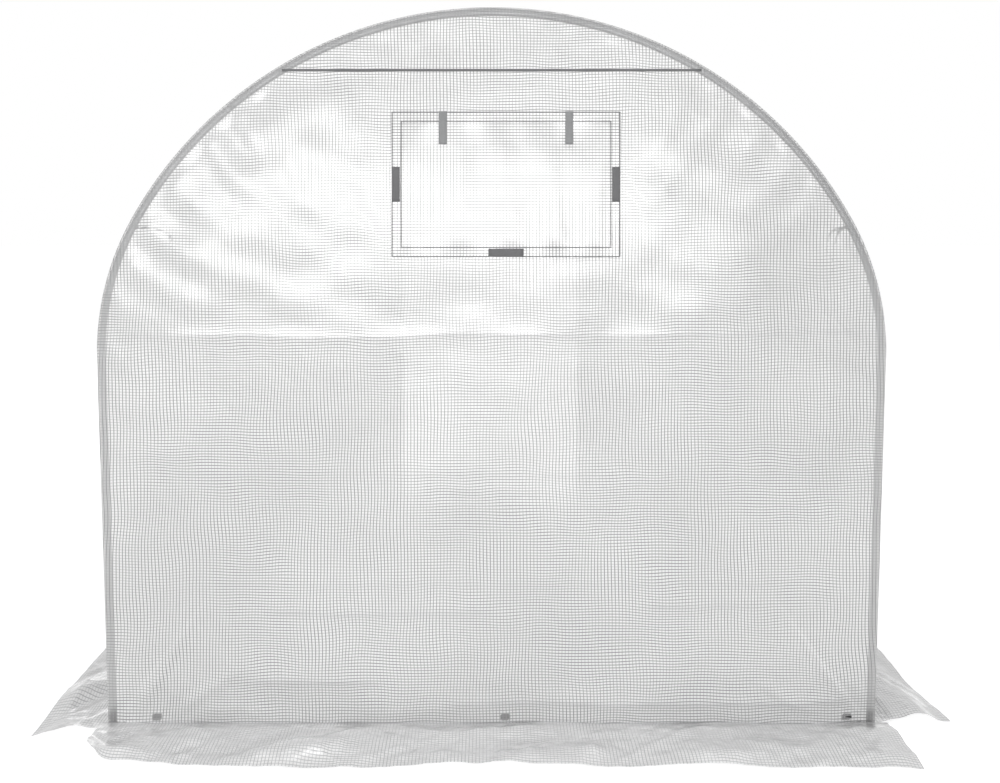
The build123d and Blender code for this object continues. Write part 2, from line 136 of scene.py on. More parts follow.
def half_width(z, off):
    """Half the tunnel's width at height z: the leg line, then the haunch circle, then the crown circle."""
    z = np.asarray(z, dtype=float)
    haunch_top = on_crown(CROWN_BEND_HALF_ANGLE, off)[1]
    spring_z = on_haunch(SPRING_ANGLE, off)[1]
    haunch = (HAUNCH_BEND_R + off) ** 2 - (z - BEND_CENTRE_Z) ** 2
    crown = (CROWN_BEND_R + off) ** 2 - (z - CROWN_CENTRE_Z) ** 2
    arcs = (BEND_CENTRE_X + np.sqrt(np.maximum(haunch, 0)), np.sqrt(np.maximum(crown, 0)))
    width = np.where(z < haunch_top, *arcs)
    return np.where(z < spring_z, on_leg(z, off)[0], width)


def arch_inset(x, z):
    """How far a point of an end wall lies inside the film's edge: the film's radius less the distance to the
    arc's centre, on each arc's own stretch, and the level distance times the lean's cosine on the legs."""
    x = np.abs(x)
    crown = CROWN_BEND_R + FILM_OFF - np.hypot(x, z - CROWN_CENTRE_Z)
    haunch = HAUNCH_BEND_R + FILM_OFF - np.hypot(x - BEND_CENTRE_X, z - BEND_CENTRE_Z)
    leg = (on_leg(z, FILM_OFF)[0] - x) * cos(LEG_LEAN)
    turn = np.arctan2(x - BEND_CENTRE_X, z - BEND_CENTRE_Z)
    arcs = np.where(turn > CROWN_BEND_HALF_ANGLE, haunch, crown)
    return np.where(z < on_haunch(SPRING_ANGLE, FILM_OFF)[1], leg, arcs)


def arch_path(off, half_count):
    """Arch line from the left spring point over the ridge to the right one, evenly stepped on each arc."""
    haunch = np.linspace(SPRING_ANGLE, CROWN_BEND_HALF_ANGLE, half_count // 3, endpoint=False)
    crown = np.linspace(CROWN_BEND_HALF_ANGLE, 0, half_count, endpoint=False)
    x = np.concatenate([on_haunch(haunch, off)[0], on_crown(crown, off)[0]])
    z = np.concatenate([on_haunch(haunch, off)[1], on_crown(crown, off)[1]])
    ridge_x, ridge_z = on_crown(0.0, off)
    return np.concatenate([-x, [ridge_x], x[::-1]]), np.concatenate([z, [ridge_z], z[::-1]])


# Height fields


def smooth_step(value, low_edge, high_edge):
    """Rises from 0 at the low edge to 1 at the high edge as 3t^2 - 2t^3."""
    t = np.clip((value - low_edge) / (high_edge - low_edge), 0, 1)
    return t * t * (3 - 2 * t)


def rolling(a, b, pitch, seed, waves=7):
    """Soft swells: the mean of sine waves that cross at random angles, with lengths about the pitch."""
    chance = np.random.default_rng(seed)
    total = np.zeros(np.broadcast(a, b).shape)
    for turn, stretch, phase in zip(
        chance.uniform(0, pi, waves), chance.uniform(0.7, 1.6, waves), chance.uniform(0, 2 * pi, waves)
    ):
        total += np.sin(2 * pi * (a * np.cos(turn) + b * np.sin(turn)) / (pitch * stretch) + phase)
    return total / waves


def crumpled(a, b, pitch, seed, folds=6):
    """Sharp folds: the mean of 1 - |sin| waves that cross at random angles and are bent by soft swells."""
    chance = np.random.default_rng(seed)
    total = np.zeros(np.broadcast(a, b).shape)
    for number, (turn, stretch, phase) in enumerate(
        zip(chance.uniform(0, pi, folds), chance.uniform(0.7, 1.7, folds), chance.uniform(0, pi, folds))
    ):
        along = a * np.cos(turn) + b * np.sin(turn)
        bend = 0.9 * rolling(a, b, 2.5 * pitch, seed + 31 * number + 1)
        total += 1 - np.abs(np.sin(pi * along / (pitch * stretch) + phase + pi * bend))
    return total / folds


# Meshes


def grid_faces(rows, columns, closed_rows=False, closed_columns=False):
    """Corner numbers of a grid's quads, row by row. A closed direction joins its last line to its first."""
    number = np.arange(rows * columns).reshape(rows, columns)
    if closed_rows:
        number = np.vstack([number, number[:1]])
    if closed_columns:
        number = np.hstack([number, number[:, :1]])
    quads = [number[:-1, :-1], number[:-1, 1:], number[1:, 1:], number[1:, :-1]]
    return np.stack(quads, axis=-1).reshape(-1, 4)


class Shell:
    """Surfaces that are collected as whole arrays and then made into one object."""

    def __init__(self):
        self.points = []
        self.faces = []
        self.flat = []
        self.marks = []
        self.reaches = []
        self.count = 0

    def add(self, points, flat=None, mark=0.0, reach=FAR_FROM_TUBES, closed_rows=False, closed_columns=False):
        """Adds a grid of points, with its flat pattern coordinates, the strength of its shade-and-stitch mark
        (painted shade along creases, dark stitch lines) and how far it is from the edge of what presses on
        it."""
        rows, columns = points.shape[:2]
        size = rows * columns
        self.faces.append(grid_faces(rows, columns, closed_rows, closed_columns) + self.count)
        self.points.append(points.reshape(-1, 3))
        self.flat.append(np.zeros((size, 2)) if flat is None else flat.reshape(-1, 2))
        self.marks.append(np.broadcast_to(mark, (rows, columns)).reshape(-1))
        self.reaches.append(np.broadcast_to(reach, (rows, columns)).reshape(-1))
        self.count += size

    def make(self, name, material, solid=True):
        """Makes the object. Points that meet are merged, and a closed solid's faces are turned outwards."""
        points = np.concatenate(self.points)
        faces = np.concatenate(self.faces)
        flat = np.concatenate(self.flat)
        mesh = bpy.data.meshes.new(name)
        mesh.from_pydata(points.tolist(), [], faces.tolist())
        layer = mesh.uv_layers.new(name=FILM_MAP)
        layer.data.foreach_set("uv", flat[faces.reshape(-1)].astype(np.float32).reshape(-1))
        for name_of_mark, values in ((SHADE_AND_STITCH_MARK, self.marks), (TUBE_MARK, self.reaches)):
            mark = mesh.attributes.new(name_of_mark, "FLOAT", "POINT")
            mark.data.foreach_set("value", np.concatenate(values).astype(np.float32))
        work = bmesh.new()
        work.from_mesh(mesh)
        bmesh.ops.remove_doubles(work, verts=work.verts, dist=0.00001)
        if solid:
            bmesh.ops.recalc_face_normals(work, faces=work.faces)
        work.to_mesh(mesh)
        work.free()
        mesh.materials.append(material)
        mesh.shade_smooth()
        piece = bpy.data.objects.new(name, mesh)
        bpy.context.scene.collection.objects.link(piece)
        return piece


def unit(vectors):
    """Vectors divided by their own lengths."""
    return vectors / np.linalg.norm(vectors, axis=-1, keepdims=True)


def path_frame(path, across):
    """Directions along a path and square to it: up is across x along, and side is along x up."""
    along = unit(np.gradient(path, axis=0))
    up = unit(np.cross(np.broadcast_to(across, path.shape), along))
    return along, up, np.cross(along, up)


def tube(shell, path, across, outer, inner, sides):
    """Adds a hollow tube: a ring at each point of the path is centre + r * (cos a * up + sin a * side).
    The rings of the outer wall run forward, those of the bore run back, and the last one joins the first."""
    _, up, side = path_frame(path, across)
    turn = np.linspace(0, 2 * pi, sides, endpoint=False)
    ring = np.cos(turn)[None, :, None] * up[:, None] + np.sin(turn)[None, :, None] * side[:, None]
    outer = np.broadcast_to(outer, len(path))[:, None, None]
    inner = np.broadcast_to(inner, len(path))[:, None, None]
    wall = path[:, None] + outer * ring
    bore = path[:, None] + inner * ring
    shell.add(np.concatenate([wall, bore[::-1]]), closed_rows=True, closed_columns=True)


def turned(shell, foot, axis, heights, radii, sides):
    """Adds a turned piece: a circle of each radius at each height along the axis. Radius 0 closes an end."""
    axis = unit(np.asarray(axis, dtype=float))
    helper = np.array([1.0, 0, 0]) if abs(axis[0]) < 0.9 else np.array([0, 1.0, 0])
    first = unit(np.cross(axis, helper))
    second = np.cross(axis, first)
    turn = np.linspace(0, 2 * pi, sides, endpoint=False)
    ring = np.cos(turn)[None, :, None] * first + np.sin(turn)[None, :, None] * second
    centre = np.asarray(foot, dtype=float) + np.asarray(heights)[:, None] * axis
    shell.add(centre[:, None] + np.asarray(radii)[:, None, None] * ring, closed_columns=True)


def bolt(shell, foot, axis, across_flats=0.010, height=0.0055):
    """Adds a washer and a hexagonal head on it, as turned pieces with 20 and 6 sides."""
    washer_r = 0.8 * across_flats
    washer_t = 0.0014
    head_r = across_flats / 2 / cos(pi / 6)
    turned(shell, foot, axis, [0, 0, washer_t, washer_t], [0, washer_r, washer_r, 0], 20)
    rise = [washer_t, washer_t, height * 0.8, height, height]
    turned(shell, foot, axis, rise, [0, head_r, head_r, 0.86 * head_r, 0], 6)


def strip(shell, path, facing, width, thickness, closed=False):
    """Adds a flat band: a rounded rectangle carried along a path, with its flat side towards facing.
    The section's corners lie at +-width/2 and +-thickness/2, cut back by a quarter of the thickness."""
    along = np.roll(path, -1, axis=0) - np.roll(path, 1, axis=0) if closed else np.gradient(path, axis=0)
    along = unit(along)
    facing = np.broadcast_to(np.asarray(facing, dtype=float), path.shape)
    side = unit(np.cross(along, facing))
    out = np.cross(side, along)
    w, t, cut = width / 2, thickness / 2, thickness / 4
    corners = np.array(
        [(-w + cut, -t), (w - cut, -t), (w, -t + cut), (w, t - cut)]
        + [(w - cut, t), (-w + cut, t), (-w, t - cut), (-w, -t + cut)]
    )
    rings = path[:, None] + corners[None, :, :1] * side[:, None] + corners[None, :, 1:] * out[:, None]
    length = np.concatenate([[0], np.cumsum(np.linalg.norm(np.diff(path, axis=0), axis=1))])
    flat = np.stack(np.broadcast_arrays(corners[None, :, 0], length[:, None]), axis=-1)
    if not closed:
        first, last = (np.broadcast_to(end[:, None], rings[:1].shape) for end in (path[:1], path[-1:]))
        rings = np.concatenate([first, rings, last])
        flat = np.concatenate([flat[:1], flat, flat[-1:]])
    shell.add(rings, flat=flat, closed_rows=closed, closed_columns=True)


def put(piece, slot, *nodes):
    """Fixes a finished piece to the tunnel and hides the nodes that it stands for. The slot is not used."""
    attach(piece, "root")
    if nodes:
        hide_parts(*nodes)
    return piece


# Materials


class Value:
    """A number socket, on which plain arithmetic adds Math nodes."""

    def __init__(self, finish, socket):
        self.finish = finish
        self.socket = socket

    def math(self, operation, *numbers):
        """Adds a Math node on this number and those given."""
        values = dict(enumerate((self, *numbers)))
        return self.finish.value("ShaderNodeMath", {"operation": operation}, values)

    def flipped(self, operation, number):
        """Adds a Math node on the number given and this one, in that order."""
        return self.finish.value("ShaderNodeMath", {"operation": operation}, {0: number, 1: self})

    def __add__(self, other):
        return self.math("ADD", other)

    def __radd__(self, other):
        return self.flipped("ADD", other)

    def __sub__(self, other):
        return self.math("SUBTRACT", other)

    def __rsub__(self, other):
        return self.flipped("SUBTRACT", other)

    def __mul__(self, other):
        return self.math("MULTIPLY", other)

    def __rmul__(self, other):
        return self.flipped("MULTIPLY", other)

    def __truediv__(self, other):
        return self.math("DIVIDE", other)

    def __rtruediv__(self, other):
        return self.flipped("DIVIDE", other)

    def larger(self, other):
        """The larger of two numbers."""
        return self.math("MAXIMUM", other)

    def step(self, start, end):
        """0 at start and 1 at end, along a smooth curve."""
        settings = {"interpolation_type": "SMOOTHSTEP"}
        sockets = {"Value": self, "From Min": start, "From Max": end}
        return self.finish.value("ShaderNodeMapRange", settings, sockets)


class Nodes:
    """The nodes of a material or a world, which are added one by one."""

    def __init__(self, owner):
        owner.use_nodes = True
        self.tree = owner.node_tree
        self.tree.nodes.clear()

    def add(self, kind, settings, sockets):
        """Adds a node: its settings first, then the values or links of its sockets."""
        node = self.tree.nodes.new(kind)
        for name, setting in settings.items():
            setattr(node, name, setting)
        for name, given in sockets.items():
            if isinstance(given, Value):
                given = given.socket
            if isinstance(given, bpy.types.NodeSocket):
                self.tree.links.new(given, node.inputs[name])
            else:
                node.inputs[name].default_value = given
        return node

    def value(self, kind, settings, sockets, output=0):
        """Adds a node and hands back one of its outputs as a number."""
        return Value(self, self.add(kind, settings, sockets).outputs[output])

    def backdrop_seen(self):
        """1 for rays that show the backdrop: those from the camera and those off metal or through film."""
        rays = self.add("ShaderNodeLightPath", {}, {}).outputs
        seen = Value(self, rays["Is Camera Ray"]).larger(rays["Is Glossy Ray"])
        return seen.larger(rays["Is Transmission Ray"])


class Finish(Nodes):
    """A material that is built up from nodes."""

    def __init__(self, name):
        self.material = bpy.data.materials.new(name)
        super().__init__(self.material)

    def place(self):
        """Object coordinates."""
        return self.add("ShaderNodeTexCoord", {}, {}).outputs["Object"]

    def flat(self):
        """The two coordinates of the piece's flat pattern, in metres."""
        node = self.add("ShaderNodeUVMap", {"uv_map": FILM_MAP}, {})
        parts = self.add("ShaderNodeSeparateXYZ", {}, {0: node.outputs["UV"]})
        return Value(self, parts.outputs["X"]), Value(self, parts.outputs["Y"])

    def noise(self, scale, detail=3.0, roughness=0.55):
        """Noise on Object coordinates, mostly between 0.3 and 0.7."""
        sockets = {"Vector": self.place(), "Scale": scale, "Detail": detail, "Roughness": roughness}
        return self.value("ShaderNodeTexNoise", {}, sockets)

    def blend(self, amount, first, second):
        """Colour that goes from the first to the second as the amount goes from 0 to 1."""
        settings = {"data_type": "RGBA"}
        node = self.add("ShaderNodeMix", settings, {"Factor": amount, 6: first, 7: second})
        return node.outputs[2]

    def bump(self, height, distance, strength=1.0):
        """Normals of a surface that rises by the distance where the height is 1."""
        sockets = {"Height": height, "Distance": distance, "Strength": strength}
        return self.add("ShaderNodeBump", {}, sockets).outputs["Normal"]

    def close(self, **sockets):
        """Ends the material in a Principled shader with these sockets. An underscore stands for a space."""
        named = {name.replace("_", " "): given for name, given in sockets.items()}
        shader = self.add("ShaderNodeBsdfPrincipled", {}, named)
        self.add("ShaderNodeOutputMaterial", {}, {"Surface": shader.outputs[0]})
        return self.material


def colour(values, level=1.0):
    """A colour with its alpha, brought to a level."""
    return (*(value * level for value in values[:3]), 1.0)


def threads(along, pitch, width):
    """1 on the threads of one direction. The distance to the nearest one is |fract(s / pitch) - 1/2| * pitch,
    and the thread fades out over the middle of its half width."""
    distance = ((along / pitch).math("FRACT") - 0.5).math("ABSOLUTE") * pitch
    return 1 - distance.step(width * 0.30, width * 0.75)


def film_finish(name, settings, solid=False, crumple=1.0, roughness=0.30, gloss=0.20, thread_level=1.0):
    """Hazy film with a woven grid of threads in it. Where a tube or a clip presses on it, closer than a
    tube's width to its edge, the haze clears, less so down the legs, where it is looser. Where the mesh
    carries its shade-and-stitch mark, the film is painted darker and more opaque: painted shade along creases
    and where a skirt meets its wall, and dark stitch lines on the flaps."""
    finish = Finish(name)
    u, v = finish.flat()
    upright = threads(u, settings.thread_pitch_across, settings.thread_width)
    level = threads(v, settings.thread_pitch_up, settings.thread_width)
    leaning = finish.noise(4.5, 0.0, 0.5).step(0.36, 0.64)
    upright = upright * (0.55 + leaning * 0.45)
    level = level * (1.0 - leaning * 0.45)
    grid = upright.larger(level)
    cloud = finish.noise(3.5, 0.0, 0.6).step(0.30, 0.75)
    # Mark of the painted shade along creases and at a skirt's wall foot, and of stitch lines
    crease_shade_and_stitches = finish.value("ShaderNodeAttribute", {"attribute_name": SHADE_AND_STITCH_MARK}, {}, "Fac")
    reach = finish.value("ShaderNodeAttribute", {"attribute_name": TUBE_MARK}, {}, "Fac")
    height = finish.value("ShaderNodeSeparateXYZ", {}, {0: finish.place()}, "Z")
    tight = 0.55 + height.step(1.0, 1.45) * 0.45 + (1 - height.step(0.03, 0.06)) * 0.45
    pressed = (1 - reach.step(PRESS_WIDTH - 0.004, PRESS_WIDTH + 0.001)) * tight
    film_tone = finish.blend(cloud, colour(settings.film_colour), colour(settings.film_colour, 0.94))
    body = finish.blend(grid, film_tone, colour(settings.thread_colour, thread_level))
    # Painted shade: the film is drawn darker where the mark is, along creases and at a skirt's wall foot
    body = finish.blend(crease_shade_and_stitches * 0.5, body, colour(settings.thread_colour, 1.6))
    haze = settings.film_opacity - pressed * (settings.film_opacity - settings.pressed_opacity)
    # The painted crease shade also makes the film more opaque there
    opacity = haze + grid * (settings.thread_opacity - haze) + crease_shade_and_stitches * 0.15
    wrinkles = finish.noise(11.0, 3.0, 0.62)
    return finish.close(
        Base_Color=body,
        Roughness=roughness + wrinkles * 0.10 + grid * 0.12,
        Alpha=1.0 if solid else opacity.math("MINIMUM", 1.0),
        Normal=finish.bump(wrinkles, 0.010 * crumple, 0.55),
        IOR=1.5,
        Coat_Weight=1.0,
        Coat_Roughness=gloss,
    )


def steel_finish(settings):
    """Galvanised steel: zinc spangle in patches, a little dulling, and scuffs that run over it."""
    finish = Finish("galvanised steel")
    spangle = finish.value(
        "ShaderNodeTexVoronoi", {"feature": "F1"}, {"Vector": finish.place(), "Scale": 160.0}, "Color"
    )
    dull = finish.noise(14.0, 5.0, 0.65).step(0.35, 0.75)
    patch = spangle.step(0.0, 1.0)
    body = finish.blend(patch, colour(settings.steel_colour, 0.88), colour(settings.steel_colour, 1.12))
    body = finish.blend(dull * 0.5, body, colour(settings.steel_colour, 0.72))
    return finish.close(
        Base_Color=body,
        Metallic=0.85,
        Roughness=0.36 + dull * 0.16 + patch * 0.06,
        Normal=finish.bump(finish.noise(220.0, 2.0), 0.0004, 0.5),
    )


def plastic_finish(settings):
    """Moulded black plastic: a fine grain and paler rubbed patches."""
    finish = Finish("black moulded plastic")
    rubbed = finish.noise(30.0, 4.0, 0.6).step(0.55, 0.8)
    body = finish.blend(rubbed, colour(settings.plastic_colour), colour(settings.plastic_colour, 2.4))
    grain = finish.noise(900.0, 2.0)
    return finish.close(
        Base_Color=body, Roughness=0.45 + rubbed * 0.15, Normal=finish.bump(grain, 0.0003, 0.5)
    )


def webbing_finish(name, shade):
    """Woven tape: ribs across its length and a finer weave along it."""
    finish = Finish(name)
    u, v = finish.flat()
    rib = (v * (2 * pi / 0.0016)).math("SINE")
    warp = (u * (2 * pi / 0.0011)).math("SINE")
    weave = (rib * warp) * 0.5 + 0.5
    dirt = finish.noise(40.0, 4.0).step(0.4, 0.8)
    body = finish.blend(weave, colour(shade, 0.82), colour(shade, 1.12))
    body = finish.blend(dirt * 0.3, body, colour(shade, 0.7))
    return finish.close(Base_Color=body, Roughness=0.82, Normal=finish.bump(weave, 0.0004, 0.7))


NET_THREAD_WIDTH = 0.0004


def net_finish(settings):
    """Insect net: fine threads, square to each other, with nothing between them."""
    finish = Finish("insect net")
    upright, level = (threads(way, settings.net_pitch, NET_THREAD_WIDTH) for way in finish.flat())
    grid = upright.larger(level)
    body = finish.blend(finish.noise(60.0), colour((0.62, 0.63, 0.64)), colour((0.72, 0.73, 0.74)))
    return finish.close(Base_Color=body, Roughness=0.7, Alpha=0.08 + grid * 0.82)


# Settings


class FrameSettings(bpy.types.PropertyGroup):
    tube_sides: IntProperty(name="Tube sides", description="Faces round a tube", default=28, min=8, max=64)
    steel_colour: FloatVectorProperty(
        name="Steel",
        description="Colour of the galvanised tubes",
        subtype="COLOR",
        default=(0.24, 0.243, 0.248),
    )
    plastic_colour: FloatVectorProperty(
        name="Plastic",
        description="Colour of foot joints and clips",
        subtype="COLOR",
        default=(0.018, 0.018, 0.019),
    )


class FilmSettings(bpy.types.PropertyGroup):
    film_colour: FloatVectorProperty(
        name="Film", description="Colour of the clear film", subtype="COLOR", default=(0.95, 0.95, 0.95)
    )
    thread_colour: FloatVectorProperty(
        name="Threads",
        description="Colour of the threads in the film",
        subtype="COLOR",
        default=(0.23, 0.23, 0.235),
    )
    film_opacity: FloatProperty(
        name="Haze", description="How much the film hides", subtype="FACTOR", default=0.94, min=0, max=1
    )
    pressed_opacity: FloatProperty(
        name="Pressed haze",
        description="How much the film hides where a tube presses on it",
        subtype="FACTOR",
        default=0.30,
        min=0,
        max=1,
    )
    thread_opacity: FloatProperty(
        name="Thread opacity",
        description="How much a thread hides",
        subtype="FACTOR",
        default=0.92,
        min=0,
        max=1,
    )
    thread_pitch_across: FloatProperty(
        name="Pitch across", description="From one upright thread to the next", unit="LENGTH", default=0.0092
    )
    thread_pitch_up: FloatProperty(
        name="Pitch up", description="From one level thread to the next", unit="LENGTH", default=0.0080
    )
    thread_width: FloatProperty(
        name="Thread width", description="Width of a thread", unit="LENGTH", default=0.0019
    )
    net_pitch: FloatProperty(
        name="Net pitch", description="From one thread of a net to the next", unit="LENGTH", default=0.0016
    )
    cell: FloatProperty(
        name="Mesh cell", description="Size of a face of the cover", unit="LENGTH", default=0.0075
    )
    roof_sag: FloatProperty(
        name="Roof sag", description="How far the roof falls in between hoops", unit="LENGTH", default=0.010
    )
    wall_sag: FloatProperty(
        name="Wall sag", description="How far a wall falls in between hoops", unit="LENGTH", default=0.012
    )
    end_relief: FloatProperty(
        name="End relief", description="Height of the swells of the end walls", unit="LENGTH", default=0.005
    )


class SkirtSettings(bpy.types.PropertyGroup):
    swell: FloatProperty(
        name="Swell", description="Height of the skirts' broad folds", unit="LENGTH", default=0.022
    )
    crumple: FloatProperty(
        name="Crumple", description="Height of the skirts' sharp folds", unit="LENGTH", default=0.020
    )
    wave: FloatProperty(
        name="Edge wave", description="How far a free edge wanders", unit="LENGTH", default=0.010
    )


class StageSettings(bpy.types.PropertyGroup):
    lens: FloatProperty(name="Lens", description="Focal length in millimetres", unit="CAMERA", default=33.7)
    eye: FloatVectorProperty(
        name="Eye", description="Place of the camera", subtype="TRANSLATION", default=(-0.010, -3.62, 1.42)
    )
    shift: FloatVectorProperty(
        name="Shift", description="Shift of the lens", size=2, default=(0.012, -0.1755)
    )
    sky: FloatProperty(name="Sky", description="Strength of the light from all round", default=0.37)
    floor_glow: FloatProperty(
        name="Floor glow", description="How far the floor is seen brighter than it is lit", default=0.65
    )
    softbox: FloatProperty(name="Softbox", description="Power of the front lamp", unit="POWER", default=164.0)
    top_strip: FloatProperty(
        name="Top strip", description="Power of the lamp overhead", unit="POWER", default=36.0
    )
    back_softbox: FloatProperty(
        name="Back softbox", description="Power of the lamp behind", unit="POWER", default=84.0
    )


def film():
    """The settings of the film."""
    return bpy.context.scene.polytunnel_film


# Frame pieces


def hoop_joint_bolts(shell, y, angle):
    """A bolt through each joint of the crown with a haunch, a swage's half length in from the joint."""
    at = angle - 0.5 * SWAGE_LENGTH / CROWN_BEND_R
    for side in (-1, 1):
        x, z = on_crown(at, -HOOP_TUBE_R)
        bolt(shell, (side * x, y, z), (-side * sin(at), 0, -cos(at)), 0.008, 0.004)


def arc_points(x, z, y, side=1):
    """Points across the tunnel at one y, on either side."""
    return np.stack([side * x, np.full_like(x, y), z], axis=-1)


def hoop_crown(name, y, settings, steel):
    """Crown tube: a plain tube along the crown arc, with the joint bolts below its ends."""
    shell = Shell()
    angles = np.linspace(-CROWN_TUBE_HALF_ANGLE, CROWN_TUBE_HALF_ANGLE, 81)
    bore = HOOP_TUBE_R - HOOP_TUBE_WALL
    tube(shell, arc_points(*on_crown(angles), y), (0, 1, 0), HOOP_TUBE_R, bore, settings.tube_sides)
    hoop_joint_bolts(shell, y, CROWN_TUBE_HALF_ANGLE)
    put(shell.make(f"{name}_crown_tube", steel), "galvanised_tube", f"{name}_hoop_crown")


def hoop_haunches(name, y, settings, steel):
    """Haunch tubes: along the crown arc from inside the crown tube, round the haunch arc and down the leg
    line. The radius steps down by the swage's depth before the joint, over the width of a thumb nail."""
    shell = Shell()
    swage = SWAGE_LENGTH / CROWN_BEND_R
    for side in (-1, 1):
        crown = np.linspace(CROWN_TUBE_HALF_ANGLE - swage, CROWN_BEND_HALF_ANGLE, 40, endpoint=False)
        haunch = np.linspace(CROWN_BEND_HALF_ANGLE, SPRING_ANGLE, 40, endpoint=False)
        spring_z = on_haunch(SPRING_ANGLE)[1]
        leg = np.linspace(spring_z, LEG_JOINT_Z, 4)
        x = np.concatenate([on_crown(crown)[0], on_haunch(haunch)[0], on_leg(leg)[0]])
        z = np.concatenate([on_crown(crown)[1], on_haunch(haunch)[1], leg])
        inside = np.sum(crown < CROWN_TUBE_HALF_ANGLE)
        full = smooth_step(np.arange(len(x)), inside, inside + 4)
        outer = HOOP_TUBE_R - SWAGE_DEPTH * (1 - full)
        path = arc_points(x, z, y, side)
        tube(shell, path, (0, 1, 0), outer, outer - HOOP_TUBE_WALL, settings.tube_sides)
    put(shell.make(f"{name}_haunch_tubes", steel), "galvanised_tube", f"{name}_hoop_haunches")


def hoop_legs(name, y, settings, steel):
    """Legs: straight tubes on the leg line, with a narrower swage at the top and a rolled bead under it."""
    shell = Shell()
    for side in (-1, 1):
        below_joint = np.array([0.020, 0.012, 0.004, 0.0, -SWAGE_LENGTH])
        z = np.concatenate([[LEG_FOOT_Z, 0.5], LEG_JOINT_Z - below_joint])
        outer = HOOP_TUBE_R - SWAGE_DEPTH * np.array([0, 0, 0, 0.8, 0, 1, 1])
        path = arc_points(on_leg(z)[0], z, y, side)
        tube(shell, path, (0, 1, 0), outer, outer - HOOP_TUBE_WALL, settings.tube_sides)
    put(shell.make(f"{name}_leg_tubes", steel), "galvanised_tube", f"{name}_hoop_legs")


def straight(start, end, count=2):
    """Points of a straight run."""
    return np.linspace(np.asarray(start, dtype=float), np.asarray(end, dtype=float), count)


def ridge_purlin(settings, steel):
    """Ridge purlin: a straight tube, with a bolt and its nut through it below each hoop."""
    shell = Shell()
    lowest, highest = low("ridge_purlin"), high("ridge_purlin")
    z = (lowest[2] + highest[2]) / 2
    path = straight((0, lowest[1], z), (0, highest[1], z))
    tube(shell, path, (1, 0, 0), TIE_TUBE_R, TIE_TUBE_R - TIE_TUBE_WALL, settings.tube_sides)
    for y in HOOPS.values():
        bolt(shell, (0, y, z - TIE_TUBE_R), (0, 0, -1), 0.010, 0.007)
    put(shell.make("ridge_tube", steel), "galvanised_tube", "ridge_purlin")


def side_purlins(settings, steel):
    """Side purlins: straight tubes, bolted to the legs from inside the tunnel."""
    shell = Shell()
    lowest, highest = low("side_purlins"), high("side_purlins")
    z = (lowest[2] + highest[2]) / 2
    for side in (-1, 1):
        x = side * (highest[0] - TIE_TUBE_R)
        path = straight((x, lowest[1], z), (x, highest[1], z))
        tube(shell, path, (1, 0, 0), TIE_TUBE_R, TIE_TUBE_R - TIE_TUBE_WALL, settings.tube_sides)
        for y in HOOPS.values():
            bolt(shell, (x - side * TIE_TUBE_R, y, z), (-side, 0, 0), 0.009, 0.006)
    put(shell.make("side_purlin_tubes", steel), "galvanised_tube", "side_purlins")


BRACE_TOP = (1.0679, 0.930)
BRACE_FOOT = (1.0411, 0.078)
BRACE_TONGUE_T = 0.003
BRACE_TONGUE_W = 0.024


def wind_braces(settings, steel):
    """Wind braces: a tube whose ends are pressed flat. At each point along it the section is an ellipse
    that goes from the flat tongue's half width and half thickness to the tube's radius."""
    shell = Shell()
    turn = np.linspace(0, 2 * pi, settings.tube_sides, endpoint=False)
    for side in (-1, 1):
        top = np.array([side * BRACE_TOP[0], HOOPS["window_end"], BRACE_TOP[1]])
        foot = np.array([side * BRACE_FOOT[0], HOOPS["middle"], BRACE_FOOT[1]])
        along = unit(foot - top)
        outward = unit(np.array([side * cos(LEG_LEAN), 0, -sin(LEG_LEAN)]))
        flatwise = np.cross(outward, along)
        length = np.linalg.norm(foot - top)
        tongue_end = BRACE_TONGUE_W / 2
        rounded = tongue_end * np.array([-1.0, -0.9, -0.55])
        half = np.concatenate([rounded, [0, 0.022, 0.030, 0.040, 0.052, 0.062]])
        at = np.concatenate([half, length - half[::-1]])
        inset = np.minimum(at, length - at)
        press = 1 - smooth_step(inset, 0.022, 0.062)
        rounding = np.sqrt(np.clip(1 - np.minimum(inset, 0) ** 2 / tongue_end**2, 0, 1))
        wide = (TIE_TUBE_R + (tongue_end - TIE_TUBE_R) * press) * rounding
        thick = TIE_TUBE_R + (BRACE_TONGUE_T / 2 - TIE_TUBE_R) * press
        thick = np.where(rounding > 0, thick, 0)
        ring = (
            wide[:, None, None] * np.cos(turn)[None, :, None] * flatwise
            + thick[:, None, None] * np.sin(turn)[None, :, None] * outward
        )
        shell.add(top + at[:, None, None] * along + ring, closed_columns=True)
        bolt(shell, top - outward * BRACE_TONGUE_T / 2, -outward, 0.010, 0.006)
        bolt(shell, foot - outward * BRACE_TONGUE_T / 2, -outward, 0.010, 0.006)
    put(shell.make("brace_tubes", steel), "galvanised_tube", "wind_braces")


def base_rails(settings, steel):
    """Base rails: straight tubes from joint to joint, along both sides and across the window end."""
    shell = Shell()
    lowest, highest = low("side_base_rails"), high("side_base_rails")
    z = (lowest[2] + highest[2]) / 2
    gap = HOOP_PITCH / 2 - (lowest[1] - HOOPS["window_end"])
    for side in (-1, 1):
        x = side * (highest[0] - TIE_TUBE_R)
        for middle in (-HOOP_PITCH / 2, HOOP_PITCH / 2):
            path = straight((x, middle - gap, z), (x, middle + gap, z))
            tube(shell, path, (1, 0, 0), TIE_TUBE_R, TIE_TUBE_R - TIE_TUBE_WALL, settings.tube_sides)
    put(shell.make("side_rail_tubes", steel), "galvanised_tube", "side_base_rails")
    shell = Shell()
    lowest, highest = low("window_end_base_rail"), high("window_end_base_rail")
    path = straight((lowest[0], HOOPS["window_end"], z), (highest[0], HOOPS["window_end"], z))
    tube(shell, path, (0, 1, 0), TIE_TUBE_R, TIE_TUBE_R - TIE_TUBE_WALL, settings.tube_sides)
    put(shell.make("end_rail_tube", steel), "galvanised_tube", "window_end_base_rail")


